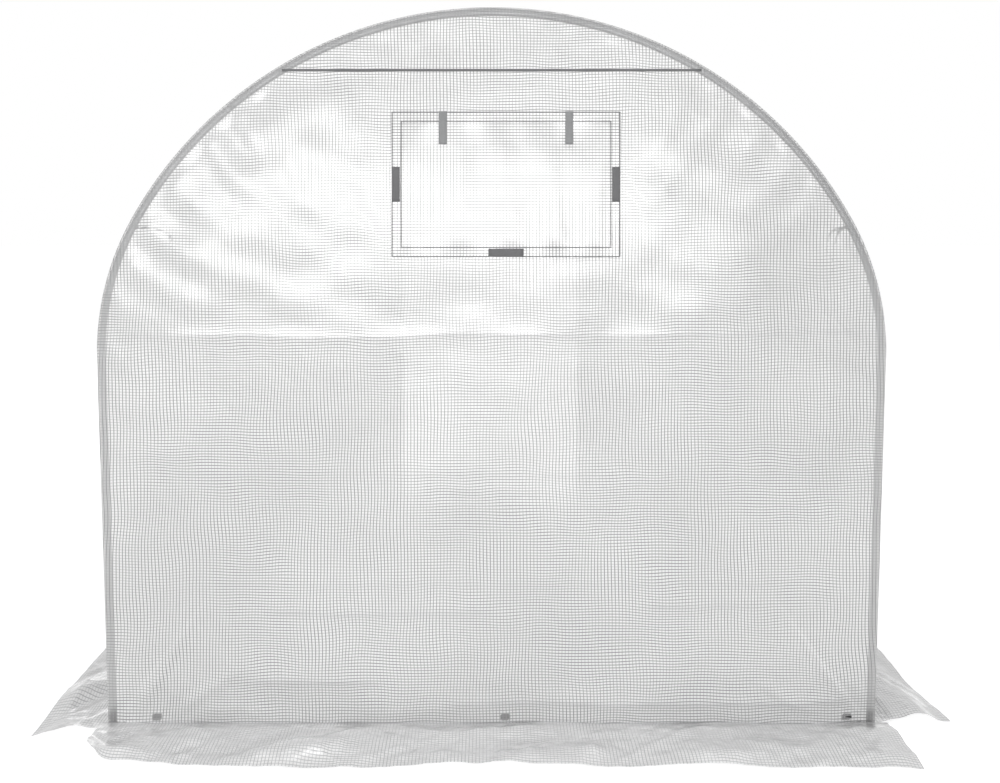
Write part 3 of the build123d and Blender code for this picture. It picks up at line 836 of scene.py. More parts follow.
FOOT_ARM_REACH = 0.038
FOOT_BLOCK_TOP = 0.040
RAIL_Z = 0.025
RAIL_CLIP_R = 0.011
RAIL_CLIP_WIDTH = 0.030
RAIL_CLIP_MIDDLE_X = 0.038
TIE_ANGLE = radians(62)
TIE_TAPE_WIDTH = 0.009
TIE_TAILS = {
    -1: ((0.129, -0.137, 2.2), (0.097, -0.119, 2.8)),
    1: ((-0.053, -0.084, 2.4), (-0.038, -0.132, 2.0)),
}
FOOT_SPOTS_X = (-1.022, 1.022)


def tail_line(run, fall, bow, count=24):
    """Line of a tail from its knot: x = run * (1 - (1 - t)^bow), z = fall * t^bow, with t from 0 to 1."""
    t = np.linspace(0, 1, count)
    return run * (1 - (1 - t) ** bow), fall * t**bow


def rail_clip_places():
    """Middles of the three rail clips across the tunnel."""
    half = RAIL_CLIP_WIDTH / 2
    return low("base_clips")[0] + half, RAIL_CLIP_MIDDLE_X, high("base_clips")[0] - half


def foot_joints(plastic):
    """Foot joints: a turned block under each leg, with a groove near its top, and a turned arm with a collar
    towards each rail."""
    shell = Shell()
    for name, y in HOOPS.items():
        for side in (-1, 1):
            foot = np.array([side * on_leg(0.0)[0], y, 0.0])
            axis = np.array([side * sin(LEG_LEAN), 0, cos(LEG_LEAN)])
            heights = [0, 0, 0.0015, 0.030, 0.0315, 0.034, 0.0355, 0.0385, FOOT_BLOCK_TOP, FOOT_BLOCK_TOP]
            radii = [0, 0.011, 0.0125, 0.0125, 0.0115, 0.0115, 0.0125, 0.0125, 0.0116, 0]
            turned(shell, foot, axis, heights, radii, 36)
            start = np.array([side * on_leg(RAIL_Z)[0], y, RAIL_Z])
            arms = []
            if name != "door_end":
                arms.append((0, 1, 0))
            if name != "window_end":
                arms.append((0, -1, 0))
            else:
                arms.append((-side, 0, 0))
            for arm in arms:
                reach = [0, 0, 0.026, 0.028, FOOT_ARM_REACH - 0.001, FOOT_ARM_REACH, FOOT_ARM_REACH]
                girth = [0, 0.0092, 0.0092, 0.0108, 0.0108, 0.0100, 0]
                turned(shell, start, arm, reach, girth, 32)
                screw = start + np.array(arm) * 0.033 + np.array([0, 0, 0.0104])
                turned(shell, screw, (0, 0, 1), [0, 0, 0.0012, 0.0016], [0, 0.0028, 0.0024, 0], 16)
    put(shell.make("foot_fittings", plastic), "black_plastic", "foot_joints")


def base_clips(plastic):
    """Base clips: a band bent round the rail in an open ring, with lips that flare at its mouth. The radius
    is constant over the ring and grows by the square of the way into each lip."""
    shell = Shell()
    y, z = HOOPS["window_end"], RAIL_Z
    for x in rail_clip_places():
        turn = np.linspace(radians(38), radians(322), 49)
        lip = np.clip((np.abs(turn - pi) - radians(126)) / radians(16), 0, 1) ** 2
        radius = RAIL_CLIP_R + 0.0012 * lip
        facing = np.stack([np.zeros_like(turn), np.cos(turn), np.sin(turn)], axis=-1)
        path = np.array([x, y, z]) + radius[:, None] * facing
        strip(shell, path, facing, RAIL_CLIP_WIDTH, 0.0028)
    put(shell.make("rail_clips", plastic), "black_plastic", "base_clips")


# Cover pieces


def crease_line(x, z, start, end, height, wobble, pitch, seed, sharpness=0.007):
    """A fold line across a wall: exp(-|z - line(x)| / sharpness), where the line wanders about its height
    by soft swells, and fades over a hand's width at its ends."""
    line = height + wobble * rolling(x, np.zeros_like(x), pitch, seed)
    fade = smooth_step(x, start, start + 0.08) * (1 - smooth_step(x, end - 0.08, end))
    return np.exp(-np.abs(z - line) / sharpness) * fade


# Fold lines of the window end: start and end across the tunnel, height, how far it wanders, its depth, which
# sets its lift and how dark its painted shade is
WINDOW_END_CREASES = (
    (-1.06, 1.06, 1.086, 0.016, 0.55),
    (-0.66, 0.03, 0.312, 0.007, 0.8),
    (0.38, 0.79, 0.330, 0.006, 0.7),
    (-0.90, 0.86, 0.392, 0.005, 0.35),
    (-0.72, -0.28, 0.123, 0.008, 0.8),
    (-0.15, 1.02, 0.062, 0.012, 0.9),
    (-0.95, 0.40, 0.700, 0.006, 0.25),
    (-1.04, 1.04, 0.009, 0.003, 1.0),
)

# Folds that run up from the lower corners of the window end: start and end of each as (x, z), and its height
WINDOW_END_PULLS = (
    ((-0.985, 0.03), (-0.80, 0.36), 0.007),
    ((-0.90, 0.02), (-0.62, 0.22), 0.005),
    ((1.00, 0.03), (0.84, 0.30), 0.006),
    ((0.92, 0.02), (0.66, 0.17), 0.004),
)


def pull_line(x, z, start, end, height):
    """A fold on a straight line that fades to its ends: height * exp(-(distance from the line / 0.016)^2)."""
    run, rise = end[0] - start[0], end[1] - start[1]
    length = np.hypot(run, rise)
    along = ((x - start[0]) * run + (z - start[1]) * rise) / length**2
    across = ((x - start[0]) * rise - (z - start[1]) * run) / length
    fade = smooth_step(along, 0.0, 0.25) * (1 - smooth_step(along, 0.35, 1.0))
    return height * np.exp(-((across / 0.016) ** 2)) * fade


# How far in and how far out an end wall may go, so that it clears what is behind it
RELIEF_RANGE = (-0.0105, 0.020)


def end_relief(x, z, settings, creases, seed):
    """How far an end wall stands off its plane, and the strength of the shade painted along its creases: soft
    swells, ripples that start square to the arch and die away over a forearm's length, fold lines, and folds
    from the lower corners."""
    inset = arch_inset(x, z) - PRESS_WIDTH
    held = smooth_step(inset, 0.0, 0.10) * smooth_step(z, 0.0, 0.05)
    swell = settings.end_relief * (rolling(x, z, 0.55, seed) + 0.35 * rolling(x, z, 0.17, seed + 1))
    turn = np.arctan2(x, z - CROWN_CENTRE_Z)
    waves = np.sin(turn * 52 + 2.5 * rolling(x, z, 0.4, seed + 2))
    ripple = 0.0022 * waves * np.exp(-np.maximum(inset, 0) / 0.13)
    mark = np.zeros(np.broadcast(x, z).shape)
    lift = np.zeros_like(mark)
    for number, (start, end, height, wobble, depth) in enumerate(creases):
        line = (x, z, start, end, height, wobble, 0.32, seed + 10 + number)
        # Painted shade along each fold line, as dark as its depth
        mark = np.maximum(mark, depth * crease_line(*line))
        lift += 0.004 * depth * crease_line(*line, sharpness=0.02)
    if creases:
        lift += sum(pull_line(x, z, *pull) for pull in WINDOW_END_PULLS)
    whole = (swell + lift) * held + ripple * smooth_step(inset, 0, 0.03)
    return whole * smooth_step(np.abs(z - SEAM_Z), 0.010, 0.080), mark * smooth_step(inset, 0.0, 0.06)


def end_block(shell, left, right, bottom, top, y, outward, settings, relief):
    """Adds a block of an end wall between two upright edges, which may be functions of height:
    x = left + (right - left) * s, z = bottom + (top - bottom) * t, and the relief moves it along outward."""
    rows = max(3, int(round((top - bottom) / settings.cell)) + 1)
    z = np.linspace(bottom, top, rows)[:, None]
    start = left(z) if callable(left) else np.full_like(z, left)
    end = right(z) if callable(right) else np.full_like(z, right)
    columns = max(3, int(round(float(np.max(end - start)) / settings.cell)) + 1)
    share = np.linspace(0, 1, columns)[None, :]
    share = share if outward < 0 else 1 - share
    x = start + (end - start) * share
    z = np.broadcast_to(z, x.shape)
    lift, mark = relief(x, z)
    reach = pressed_reach(x, z) if outward < 0 else arch_inset(x, z)
    points = np.stack([x, y + outward * lift, z], axis=-1)
    shell.add(points, flat=drifted(x, z, outward), mark=mark, reach=reach)


def drifted(x, z, seed):
    """Flat pattern of a wall whose threads wander: each coordinate plus soft swells of a few millimetres."""
    drift_x = 0.0065 * rolling(x, z, 0.30, 600 + seed) + 0.003 * rolling(x, z, 0.12, 602 + seed)
    drift_z = 0.0065 * rolling(x, z, 0.26, 604 + seed) + 0.003 * rolling(x, z, 0.11, 606 + seed)
    return np.stack([x + drift_x, z + drift_z], axis=-1)


def pressed_reach(x, z):
    """Distance from the film's edge over a tube, as over the hoop, or over a clip or a tape behind the window
    end: the larger of the distances outside its sides, or the distance to its line less half its width."""
    reach = arch_inset(x, z)
    for clip_x in rail_clip_places():
        beyond = np.maximum(np.abs(x - clip_x) - RAIL_CLIP_WIDTH / 2, np.abs(z - RAIL_Z) - RAIL_CLIP_R)
        reach = np.minimum(reach, PRESS_WIDTH + beyond)
    for foot_x in FOOT_SPOTS_X:
        beyond = np.hypot(x - foot_x, z - 0.006) - 0.009
        reach = np.minimum(reach, PRESS_WIDTH + beyond)
    for side, tails in TIE_TAILS.items():
        knot_x, knot_z = on_haunch(TIE_ANGLE, -HOOP_TUBE_R)
        for tail in tails:
            for number, (off_x, off_z) in enumerate(zip(*tail_line(*tail))):
                press = TIE_TAPE_WIDTH * (0.62 - 0.015 * number)
                beyond = np.hypot(x - side * knot_x - off_x, z - knot_z - off_z) - press
                reach = np.minimum(reach, PRESS_WIDTH + beyond)
    return reach


def right_edge(z):
    """Right edge of an end wall at height z."""
    return half_width(z, FILM_OFF)


def left_edge(z):
    """Left edge of an end wall at height z."""
    return -half_width(z, FILM_OFF)


def gable(name, node, y, outward, settings, clear, relief):
    """Gable above the seam: x = half the seam's width * s, z from the seam to the arch over that x."""
    seam_half = float(half_width(SEAM_Z, FILM_OFF))
    columns = int(round(2 * seam_half / settings.cell)) + 1
    x = np.linspace(-seam_half, seam_half, columns)[None, :]
    x = x if outward < 0 else -x
    arch = CROWN_CENTRE_Z + np.sqrt((CROWN_BEND_R + FILM_OFF) ** 2 - x**2)
    rows = int(round((HOOP_HEIGHT - SEAM_Z) / settings.cell)) + 1
    z = SEAM_Z + (arch - SEAM_Z) * np.linspace(0, 1, rows)[:, None]
    x = np.broadcast_to(x, z.shape)
    lift, mark = relief(x, z)
    lift = lift * smooth_step(arch - z, 0.0, 0.08)
    shell = Shell()
    points = np.stack([x, y + outward * lift, z], axis=-1)
    shell.add(points, flat=drifted(x, z, outward), mark=mark, reach=arch_inset(x, z))
    piece = put(shell.make(name, clear, solid=False), "film", node)
    height = HOOP_HEIGHT - SEAM_Z + FILM_OFF


def seam_tape(name, y, z, half, outward, tape):
    """Seam: a narrow welded band across an end wall, with its flat side outwards."""
    shell = Shell()
    path = straight((-half, y, z), (half, y, z), 60)
    strip(shell, path, (0, outward, 0), 0.007, 0.0008)
    put(shell.make(name, tape), "webbing")


def wall_area(bottom, top, inner=0.0):
    """Area of an end wall between two heights, from an inner half width out to the arch, on both sides."""
    z = np.linspace(bottom, top, 200)
    return 2 * float(np.trapz(half_width(z, FILM_OFF) - inner, z))


def window_frame():
    """Edges of the end window's flap and of the opening that it covers."""
    lowest, highest = low("end_window_flap"), high("end_window_flap")
    flap = (lowest[0], highest[0], lowest[2], highest[2])
    opening = (
        lowest[0] + FLAP_BORDER,
        highest[0] - FLAP_BORDER,
        lowest[2] + FLAP_BORDER,
        highest[2] - FLAP_BORDER,
    )
    return flap, opening


def window_end(settings, finishes):
    """Window end: the gable, the seam, and the wall below it as blocks round the window's opening."""
    clear = finishes["end_film"]
    y = WINDOW_END_Y
    flap, opening = window_frame()

    def relief(x, z):
        """The end wall's relief, which dies away towards the flap."""
        lift, mark = end_relief(x, z, settings, WINDOW_END_CREASES, 5)
        off_x = np.maximum(np.maximum(flap[0] - x, x - flap[1]), 0)
        off_z = np.maximum(np.maximum(flap[2] - z, z - flap[3]), 0)
        free = smooth_step(np.hypot(off_x, off_z), 0.01, 0.14)
        return np.clip(lift * free, *RELIEF_RANGE), mark * free

    shell = Shell()
    for left, right, bottom, top in (
        (left_edge, opening[0], 0.0, opening[2]),
        (opening[0], opening[1], 0.0, opening[2]),
        (opening[1], right_edge, 0.0, opening[2]),
        (left_edge, opening[0], opening[2], opening[3]),
        (opening[1], right_edge, opening[2], opening[3]),
        (left_edge, opening[0], opening[3], SEAM_Z),
        (opening[0], opening[1], opening[3], SEAM_Z),
        (opening[1], right_edge, opening[3], SEAM_Z),
    ):
        end_block(shell, left, right, bottom, top, y, -1, settings, relief)
    wall = put(shell.make("window_end_film", clear, solid=False), "film", "window_end_wall")
    hole = (opening[1] - opening[0]) * (opening[3] - opening[2])
    widest = 2 * float(half_width(on_haunch(pi / 2)[1], FILM_OFF))
    wall_area(0.0, SEAM_Z) - hole
    gable("window_end_gable_film", "window_end_gable", y, -1, settings, clear, relief)
    seam_tape("window_end_seam", y - 0.001, SEAM_Z, float(half_width(SEAM_Z, 0.0)), -1, finishes["seam"])


def flat_rectangle(shell, edges, y, outward, cell, bulge):
    """Adds an upright rectangle across the tunnel, with x and z as its flat pattern and a bulge outwards."""
    left, right, bottom, top = edges
    x = np.linspace(left, right, int(round((right - left) / cell)) + 1)[None, :]
    x = x if outward < 0 else x[:, ::-1]
    z = np.linspace(bottom, top, int(round((top - bottom) / cell)) + 1)[:, None]
    x, z = np.broadcast_arrays(x, z)
    shell.add(np.stack([x, y + outward * bulge(x, z), z], axis=-1), flat=np.stack([x, z], axis=-1))


def frame_strips(edges, border):
    """The four strips of a border inside a rectangle's edges."""
    left, right, bottom, top = edges
    return (
        (left, right, bottom, bottom + border),
        (left, right, top - border, top),
        (left, left + border, bottom + border, top - border),
        (right - border, right, bottom + border, top - border),
    )


def end_window(finishes):
    """End window: the net behind the opening, the flap over it with its doubled border, the touch tape that
    holds it on three sides and the straps that hold it when it is rolled up."""
    flap, _ = window_frame()
    lowest, highest = low("end_window_net"), high("end_window_net")
    edges = (lowest[0], highest[0], lowest[2], highest[2])
    shell = Shell()
    flat_rectangle(shell, edges, (lowest[1] + highest[1]) / 2, -1, 0.02, lambda x, z: 0.0 * x)
    net = shell.make("end_window_insect_net", finishes["net"], solid=False)
    put(net, "insect_net", "end_window_net")

    flap_y = WINDOW_END_Y - FILM_T

    def bulge(x, z):
        """Soft swells inside the border and long drapes below the top edge."""
        inside = np.minimum(np.minimum(x - flap[0], flap[1] - x), np.minimum(z - flap[2], flap[3] - z))
        free = smooth_step(inside, 0.0, 0.06)
        waves = np.sin(2 * pi * x / 0.13 + 3 * rolling(x, z, 0.5, 44))
        drapes = 0.0016 * waves * smooth_step(flap[3] - z, 0, 0.1)
        return (0.0030 * rolling(x, z, 0.24, 41) + drapes) * free + 0.0006

    shell = Shell()
    flat_rectangle(shell, flap, flap_y, -1, 0.008, bulge)
    cover = shell.make("end_window_flap_film", finishes["flap_film"], solid=False)
    put(cover, "film", "end_window_flap")
    shell = Shell()
    for edges in frame_strips(flap, FLAP_BORDER):
        flat_rectangle(shell, edges, flap_y - 0.0011, -1, 0.010, bulge)
    hem = put(shell.make("end_window_flap_hem", finishes["hem_film"], solid=False), "film")
    flap[1] - flap[0]
    flap[3] - flap[2]
    shell = Shell()
    for inset in (0.0025, FLAP_BORDER - 0.0025):
        left, right = flap[0] + inset, flap[1] - inset
        bottom, top = flap[2] + inset, flap[3] - inset
        corners = ((left, bottom), (right, bottom), (right, top), (left, top), (left, bottom))
        for (x0, z0), (x1, z1) in zip(corners, corners[1:]):
            x = np.linspace(x0, x1, 60)
            z = np.linspace(z0, z1, 60)
            path = np.stack([x, flap_y - 0.0017 - bulge(x, z), z], axis=-1)
            strip(shell, path, (0, -1, 0), 0.0026, 0.0005)
    put(shell.make("end_window_stitching", finishes["seam"]), "webbing")

    tab_y = high("end_window_tabs")[1] - 0.0005
    middle_x = (flap[0] + flap[1]) / 2
    middle_z = (flap[2] + flap[3]) / 2
    tab_half, tab_width, inset = 0.049, 0.022, 0.013
    hook_y = flap_y - 0.0030
    for face_y, name in ((tab_y, "end_window_wall_tape"), (hook_y, "end_window_flap_tape")):
        shell = Shell()
        for x in (flap[0] + inset, flap[1] - inset):
            path = straight((x, face_y, middle_z - tab_half), (x, face_y, middle_z + tab_half), 8)
            strip(shell, path, (0, -1, 0), tab_width, 0.001)
        z = flap[2] + inset
        path = straight((middle_x - tab_half, face_y, z), (middle_x + tab_half, face_y, z), 8)
        strip(shell, path, (0, -1, 0), tab_width, 0.001)
        nodes = ("end_window_tabs",) if face_y == tab_y else ()
        put(shell.make(name, finishes["touch_tape"]), "webbing", *nodes)

    shell = Shell()
    lowest, highest = low("end_window_straps"), high("end_window_straps")
    for x in (lowest[0] + tab_width / 2, highest[0] - tab_width / 2):
        drop = np.linspace(0, highest[2] - lowest[2], 18)
        z = highest[2] - drop
        y = hook_y - bulge(x, z) - 0.0030 * smooth_step(drop, 0.02, 0.09)
        strip(shell, np.stack([np.full_like(z, x), y, z], axis=-1), (0, -1, 0), tab_width, 0.0014)
    put(shell.make("end_window_roll_straps", finishes["strap"]), "webbing", "end_window_straps")


def hoop_reach(y):
    """Distance from the nearest hoop's middle, counted as an end wall counts it from the film's edge."""
    return FILM_OFF + np.min([np.abs(y - at) for at in HOOPS.values()], axis=0)


# Height over which the walls and the roof go over into each other
EDGE_BLEND = 0.12


def roof(settings, finishes):
    """Roof film: the arch line carried along the tunnel. It falls in between the hoops by
    sag * sin^2(pi * y / pitch), less at the ridge, where the purlin holds it. Its ripples and swells end
    above its edges, where it goes over into the walls."""
    shell = Shell()
    x_line, z_line = arch_path(0.0, 66)
    x_out, z_out = arch_path(1.0, 66)
    normal_x, normal_z = x_out - x_line, z_out - z_line
    y = np.linspace(DOOR_END_Y, WINDOW_END_Y, 136)[None, :]
    turn = np.arctan2(x_line, z_line - CROWN_CENTRE_Z)[:, None]
    length = np.concatenate([[0], np.cumsum(np.hypot(np.diff(x_line), np.diff(z_line)))])[:, None]
    between = np.sin(pi * y / HOOP_PITCH) ** 2
    ridge_hold = 0.25 + 0.75 * smooth_step(np.abs(turn), 0.0, 0.35)
    fall = settings.roof_sag * between * ridge_hold
    ripple = 0.0022 * np.sin(2 * pi * length / 0.19 + 3 * rolling(length, y, 0.8, 71)) * between
    swell = 0.0018 * rolling(length, y, 0.30, 72) * smooth_step(between, 0.0, 0.3)
    clear = smooth_step(np.minimum(length, length[-1] - length), 0.0, EDGE_BLEND)
    off = FILM_OFF - fall + (ripple + swell) * clear
    x = x_line[:, None] + off * normal_x[:, None]
    z = z_line[:, None] + off * normal_z[:, None]
    points = np.stack(np.broadcast_arrays(x, y, z), axis=-1)
    shell.add(points, flat=np.stack(np.broadcast_arrays(y, length), axis=-1), reach=hoop_reach(y))
    piece = put(shell.make("roof_film", finishes["side_film"], solid=False), "film", "roof_cover")
    arch_length = 2 * CROWN_BEND_HALF_ANGLE * (CROWN_BEND_R + FILM_OFF)
    arch_length += 2 * (SPRING_ANGLE - CROWN_BEND_HALF_ANGLE) * (HAUNCH_BEND_R + FILM_OFF)


def wall_point(side, height, y, off):
    """Point of a side wall: up the leg line by its height, off outward of it."""
    x, _ = on_leg(height, off)
    return np.stack(np.broadcast_arrays(side * x, y, height), axis=-1)


def wall_grid(shell, side, ys, heights, off, cell, lift, mark=None):
    """Adds a rectangle of a side wall with y and height as its flat pattern. The lift moves it outward, and
    the mark gives the strength of its shade-and-stitch mark, which the flaps use for their stitch lines."""
    y = np.linspace(*ys, max(3, int(round((ys[1] - ys[0]) / cell)) + 1))[None, :]
    y = y if side > 0 else y[:, ::-1]
    z = np.linspace(*heights, max(3, int(round((heights[1] - heights[0]) / cell)) + 1))[:, None]
    y, z = np.broadcast_arrays(y, z)
    reach = hoop_reach(y)
    points = wall_point(side, z, y, off + lift(y, z))
    shell.add(points, flat=np.stack([y, z], axis=-1), mark=mark(y, z) if mark else 0.0, reach=reach)


def side_wall(side, side_name, settings, finishes):
    """Side wall: film down the legs, as blocks round the two window openings, the net behind each opening
    and the flap over it. It falls in between the hoops by sag * sin^2(pi * y / pitch)."""
    lowest, highest = low(f"{side_name}_window_flaps"), high(f"{side_name}_window_flaps")
    flap_z = (lowest[2], highest[2])
    spring_z = float(on_haunch(SPRING_ANGLE, FILM_OFF)[1])
    flap_half = highest[1] - HOOP_PITCH / 2
    middles = (-HOOP_PITCH / 2, HOOP_PITCH / 2)
    open_z = (flap_z[0] + FLAP_BORDER, flap_z[1] - FLAP_BORDER)
    wall_name = f"{side_name}_wall_film"

    def lift(y, z):
        """Wrinkles, swells and the sag in between the hoops. At the top they give way to the roof's sag."""
        top = smooth_step(z, spring_z - EDGE_BLEND, spring_z)
        upright = smooth_step(z, 0.0, 0.25) * (1 - top)
        between = np.sin(pi * y / HOOP_PITCH) ** 2
        wrinkles = 0.0022 * np.sin(2 * pi * y / 0.15 + 3 * rolling(y, z, 0.5, 90 + side))
        swell = 0.002 * rolling(y, z, 0.3, 80 + side)
        return between * ((wrinkles + swell - settings.wall_sag) * upright - settings.roof_sag * top)

    shell = Shell()
    cuts = [WINDOW_END_Y]
    for middle in middles:
        cuts += [middle - flap_half + FLAP_BORDER, middle + flap_half - FLAP_BORDER]
    cuts.append(DOOR_END_Y)
    levels = (0.0, *open_z, spring_z)
    for column, ys in enumerate(zip(cuts, cuts[1:])):
        for row, heights in enumerate(zip(levels, levels[1:])):
            if column % 2 == 1 and row == 1:
                continue
            wall_grid(shell, side, ys, heights, FILM_OFF, 0.016, lift)
    film_piece = shell.make(wall_name, finishes["side_film"], solid=False)
    put(film_piece, "film", f"{side_name}_wall_cover")
    opening = (2 * flap_half - 2 * FLAP_BORDER) * (open_z[1] - open_z[0])
    slope = 1 / cos(LEG_LEAN)
    whole = (DOOR_END_Y - WINDOW_END_Y) * spring_z * slope
    whole - 2 * opening
    nets, flaps, hems = Shell(), Shell(), Shell()
    net_off = FILM_OFF - FILM_T / 2 - 0.0005
    flap_off = FILM_OFF + FILM_T
    for middle in middles:
        net_half = flap_half - FLAP_BORDER + 0.005
        net_z = (open_z[0] - 0.005, open_z[1] + 0.005)
        wall_grid(nets, side, (middle - net_half, middle + net_half), net_z, net_off, 0.02, lift)
        flap_ys = (middle - flap_half, middle + flap_half)

        def stitches(y, z, middle=middle):
            """Lines along both edges of the doubled border: exp(-distance to the nearer edge / 0.006)."""
            inside = np.minimum(flap_half - np.abs(y - middle), np.minimum(z - flap_z[0], flap_z[1] - z))
            return np.exp(-np.minimum(np.abs(inside), np.abs(inside - FLAP_BORDER)) / 0.006)

        wall_grid(flaps, side, flap_ys, flap_z, flap_off, 0.010, lift, stitches)
        for left, right, bottom, top in frame_strips((*flap_ys, *flap_z), FLAP_BORDER):
            wall_grid(hems, side, (left, right), (bottom, top), flap_off + 0.0011, 0.010, lift, stitches)
    net_piece = nets.make(f"{side_name}_insect_nets", finishes["net"], solid=False)
    put(net_piece, "insect_net", f"{side_name}_window_nets")
    flap_piece = flaps.make(f"{side_name}_flap_films", finishes["flap_film"], solid=False)
    put(flap_piece, "film", f"{side_name}_window_flaps")
    hem_piece = put(hems.make(f"{side_name}_flap_hems", finishes["hem_film"], solid=False), "film")
    net_height = (open_z[1] - open_z[0] + 0.010) * slope
    4 * net_half
    4 * flap_half
    (flap_z[1] - flap_z[0]) * slope


def door_end(settings, finishes):
    """Door end: the gable, the seam, the header over the doorway and a wall on each side of it."""
    clear = finishes["side_film"]
    y = DOOR_END_Y
    header_bottom = low("door_end_header")[2]
    jamb = low("door_end_right_wall")[0]

    def relief(x, z):
        """The end wall's relief, which dies away towards the doorway and is none at and over the header."""
        lift, mark = end_relief(x, z, settings, (), 205)
        beside = smooth_step(np.abs(x) - jamb, 0.02, 0.12)
        below = 1 - smooth_step(z, header_bottom - 0.15, header_bottom)
        return np.clip(lift, *RELIEF_RANGE) * beside * below, mark

    for name, node, left, right in (
        ("door_end_left_film", "door_end_left_wall", left_edge, -jamb),
        ("door_end_right_film", "door_end_right_wall", jamb, right_edge),
    ):
        shell = Shell()
        end_block(shell, left, right, 0.0, header_bottom, y, 1, settings, relief)
        piece = put(shell.make(name, clear, solid=False), "film", node)
        widest = float(half_width(on_haunch(pi / 2)[1], FILM_OFF)) - jamb
        wall_area(0.0, header_bottom, jamb) / 2
    shell = Shell()
    end_block(shell, left_edge, right_edge, header_bottom, SEAM_Z, y, 1, settings, relief)
    header = put(shell.make("door_end_header_film", clear, solid=False), "film", "door_end_header")
    widest = 2 * float(half_width(header_bottom, FILM_OFF))
    wall_area(header_bottom, SEAM_Z)
    gable("door_end_gable_film", "door_end_gable", y, 1, settings, clear, relief)
    seam_tape("door_end_seam", y + 0.001, SEAM_Z, float(half_width(SEAM_Z, 0.0)), 1, finishes["seam"])


def door_zips(finishes):
    """Zips: a tape along each edge of the doorway, with a row of teeth, a slider and a pull beside its
    middle. The teeth are a tube whose radius steps between two sizes."""
    tapes, teeth = Shell(), Shell()
    lowest, highest = low("door_zips"), high("door_zips")
    y = highest[1] - 0.0008
    for side in (-1, 1):
        x = side * (highest[0] - 0.013)
        path = straight((x, y, lowest[2]), (x, y, highest[2]), 60)
        strip(tapes, path, (0, 1, 0), 0.026, 0.0012)
        edge = x - side * 0.0115
        count = 334
        z = np.linspace(lowest[2] + 0.01, highest[2] - 0.01, 4 * count)
        radius = 0.0013 + 0.0005 * np.sign(np.sin(2 * pi * np.arange(4 * count) / 4 + 0.8))
        path = np.stack([np.full_like(z, edge), np.full_like(z, y + 0.0004), z], axis=-1)
        tube(teeth, path, (1, 0, 0), radius, 0.0004, 8)
        slider_z = highest[2] - 0.03
        turned(teeth, (edge, y + 0.001, slider_z), (0, 1, 0), [0, 0, 0.003, 0.004], [0, 0.006, 0.005, 0], 20)
        pull = straight((edge, y + 0.005, slider_z), (edge, y + 0.004, slider_z - 0.035), 4)
        strip(teeth, pull, (0, 1, 0), 0.006, 0.0015)
    put(tapes.make("door_zip_tapes", finishes["zip_tape"]), "webbing", "door_zips")
    put(teeth.make("door_zip_teeth", finishes["zip_teeth"]), "webbing")


ROLL_INNER_R = 0.012
ROLL_TURNS = 9.7


def rolled_door(finishes):
    """Rolled door: a spiral carried along the roll. Its radius grows evenly from the core to the outside, a
    little more and less along its length, and its last stretch runs down to the top of the doorway."""
    lowest, highest = low("rolled_door"), high("rolled_door")
    centre_y = (lowest[1] + highest[1]) / 2
    centre_z = (lowest[2] + highest[2]) / 2
    outer_r = (highest[1] - lowest[1]) / 2
    header_bottom = low("door_end_header")[2]
    turns = np.linspace(0, ROLL_TURNS, 250)[:, None]
    x = np.linspace(highest[0], lowest[0], 70)[None, :]
    pitch = (outer_r - ROLL_INNER_R) / ROLL_TURNS
    loose = smooth_step(turns, ROLL_TURNS - 1.2, ROLL_TURNS - 0.3)
    slack = 0.0012 * rolling(x, turns * 0.02, 0.25, 301) * loose
    radius = ROLL_INNER_R + pitch * turns + np.minimum(slack, 0.0)
    turn = pi + 2 * pi * (turns - ROLL_TURNS)
    y = centre_y + radius * np.cos(turn)
    z = centre_z - radius * np.sin(turn)
    tail_z = np.linspace(centre_z - 0.004, header_bottom, 10)[:, None]
    tail_y = np.broadcast_to(y[-1:], (len(tail_z), x.shape[1]))
    shift = 0.004 * rolling(turns, 0 * turns, 2.0, 302)
    points = np.stack(np.broadcast_arrays(x + shift, y, z), axis=-1)
    tail = np.stack(np.broadcast_arrays(x + shift[-1:], tail_y, tail_z), axis=-1)
    points = np.concatenate([points, tail])
    steps = np.linalg.norm(np.diff(points, axis=0), axis=-1)
    length = np.concatenate([np.zeros((1, steps.shape[1])), np.cumsum(steps, axis=0)])
    shell = Shell()
    shell.add(points, flat=np.stack(np.broadcast_arrays(x, length), axis=-1))
    piece = put(shell.make("rolled_door_film", finishes["roll_film"], solid=False), "film", "rolled_door")


def door_ties(finishes):
    """Door ties: a band round the roll near each end, with a short tail that hangs from its knot."""
    lowest, highest = low("door_ties"), high("door_ties")
    centre_y = (lowest[1] + highest[1]) / 2
    centre_z = (lowest[2] + highest[2]) / 2
    radius = (highest[1] - lowest[1]) / 2 - 0.001
    width = 0.025
    shell = Shell()
    for x in (lowest[0] + width / 2, highest[0] - width / 2):
        turn = np.linspace(0, 2 * pi, 48, endpoint=False)
        around = np.stack([np.zeros_like(turn), np.cos(turn), np.sin(turn)], axis=-1)
        strip(shell, np.array([x, centre_y, centre_z]) + radius * around, around, width, 0.0018, closed=True)
        fall = np.linspace(0, 0.075, 14)
        z = centre_z - 0.010 - fall
        y = centre_y + np.sqrt(np.maximum(radius**2 - (z - centre_z) ** 2, 0)) + 0.0025
        y = np.maximum(y, centre_y + 0.75 * radius)
        strip(shell, np.stack([np.full_like(z, x + 0.002), y, z], axis=-1), (0, 1, 0), width * 0.9, 0.0016)
    put(shell.make("door_tie_bands", finishes["strap"]), "webbing", "door_ties")


